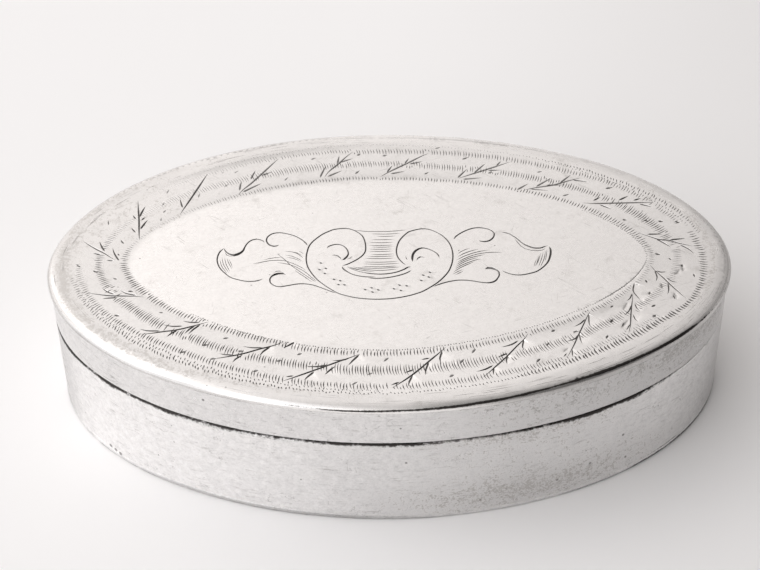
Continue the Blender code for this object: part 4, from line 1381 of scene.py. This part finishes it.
# ---------------------------------------------------------------- floor, light and camera
def make_floor():
    material = bpy.data.materials.new("pale_floor")
    g = Graph(material)
    rays = g.add("LightPath").outputs
    seen = g.larger(*(rays[f"Is {kind} Ray"] for kind in ("Camera", "Glossy", "Transmission")))
    colour = g.mix(seen, (0.80, 0.79, 0.785), (0.955, 0.95, 0.945))
    east, north, _ = g.add("SeparateXYZ", {0: g.place()}).outputs
    # Painted shade on the floor: darker towards the right and at the front corners
    shade_to_side = g.times(g.ramp(east, -5, 75), 0.3)
    shade_to_front = g.times(g.ramp(g.size(east), 20, 45), g.ramp(north, -25, -60))
    colour = g.mix(g.plus(shade_to_side, g.times(shade_to_front, 0.13)), colour, (0.5, 0.49, 0.485))
    g.surface({"Base Color": colour, "Roughness": 0.7, "Specular IOR Level": 0.2})
    half = 3.0
    corners = [(-half, -half, 0), (half, -half, 0), (half, half, 0), (-half, half, 0)]
    floor = add_mesh("floor", corners, [(0, 1, 2, 3)], material)
    floor.location.z = -0.02 * MM


def direction(azimuth, elevation):
    """A direction in the room: azimuth from the front towards the right, both in degrees."""
    a, e = math.radians(azimuth), math.radians(elevation)
    return Vector((math.sin(a) * math.cos(e), -math.cos(a) * math.cos(e), math.sin(e)))


def make_light():
    world = bpy.data.worlds.new("studio")
    bpy.context.scene.world = world
    g = Graph(world)
    across, back, up = g.add("SeparateXYZ", {0: g.add("TexCoord").outputs["Generated"]}).outputs

    def dimmed(amount, *places):
        return g.times(level, g.minus(1.0, g.times(*places, amount)))

    # Light walls, brighter to the left, with a bluish window low at the left
    level = g.times(g.ramp(across, -0.5, 0.55, 1.34, 0.46), g.ramp(back, -0.5, 0.5, 0.88, 1.04),
                    g.ramp(across, 0.14, 0.6, 1.0, 0.66))
    window = g.times(g.ramp(across, 0.0, -0.3), g.ramp(back, 0.42, 0.1))
    colour = g.mix(window, (1.0, 0.962, 0.945), (1.30, 1.285, 1.30))
    # A dim stretch of the room, above the front right
    level = dimmed(0.45, g.ramp(across, -0.05, 0.2), g.ramp(back, 0.3, 0.0), g.ramp(up, 0.3, 0.5))
    # Near the floor the walls of the room are light all round
    level = g.larger(level, g.ramp(up, 0.42, 0.24, 0, 0.66))
    # The far left is no brighter than the far middle
    level = dimmed(0.34, g.ramp(across, -0.2, -0.5), g.ramp(back, 0.1, 0.4))
    g.surface({"Color": colour, "Strength": level}, "OutputWorld", "Background")

    lamp = bpy.data.lights.new("window_light", "AREA")
    lamp.shape = "RECTANGLE"
    lamp.size, lamp.size_y = 0.5, 0.4
    lamp.energy = 0.38
    lamp.color = (1.0, 0.975, 0.965)
    thing = add_object("window_light", lamp)
    aim = direction(-110, 42)
    thing.location = aim * 0.5
    thing.rotation_euler = aim.to_track_quat("Z", "Y").to_euler()


def make_camera():
    """Set from the outline, seam, foot and border lines in the photograph."""
    frame_width, focal_px = 760, 1941.6
    elevation, yaw, roll = math.radians(41.68), math.radians(-0.186), math.radians(-1.014)
    distance, across, upwards = 0.24526, 0.00129, -0.010845
    ahead = Vector((0, math.cos(elevation), -math.sin(elevation)))
    side = Vector((1, 0, 0))
    over = side.cross(ahead)
    right = math.cos(roll) * side + math.sin(roll) * over
    up = -math.sin(roll) * side + math.cos(roll) * over
    back_turn = Matrix.Rotation(-yaw, 3, "Z")
    right, up, ahead = back_turn @ right, back_turn @ up, back_turn @ ahead
    place = -across * right - upwards * up - distance * ahead
    data = bpy.data.cameras.new("photo_camera")
    data.sensor_fit = "HORIZONTAL"
    data.sensor_width = 36.0
    data.lens = focal_px * data.sensor_width / frame_width
    data.clip_start = 0.01
    camera = add_object("photo_camera", data)
    turn = Matrix((right, up, -ahead)).transposed().to_4x4()
    camera.matrix_world = Matrix.Translation(place) @ turn
    bpy.context.scene.camera = camera


make_camera()
make_floor()
make_light()
make_pieces()
bpy.context.scene.view_settings.view_transform = "Standard"

bpy.context.view_layer.update()
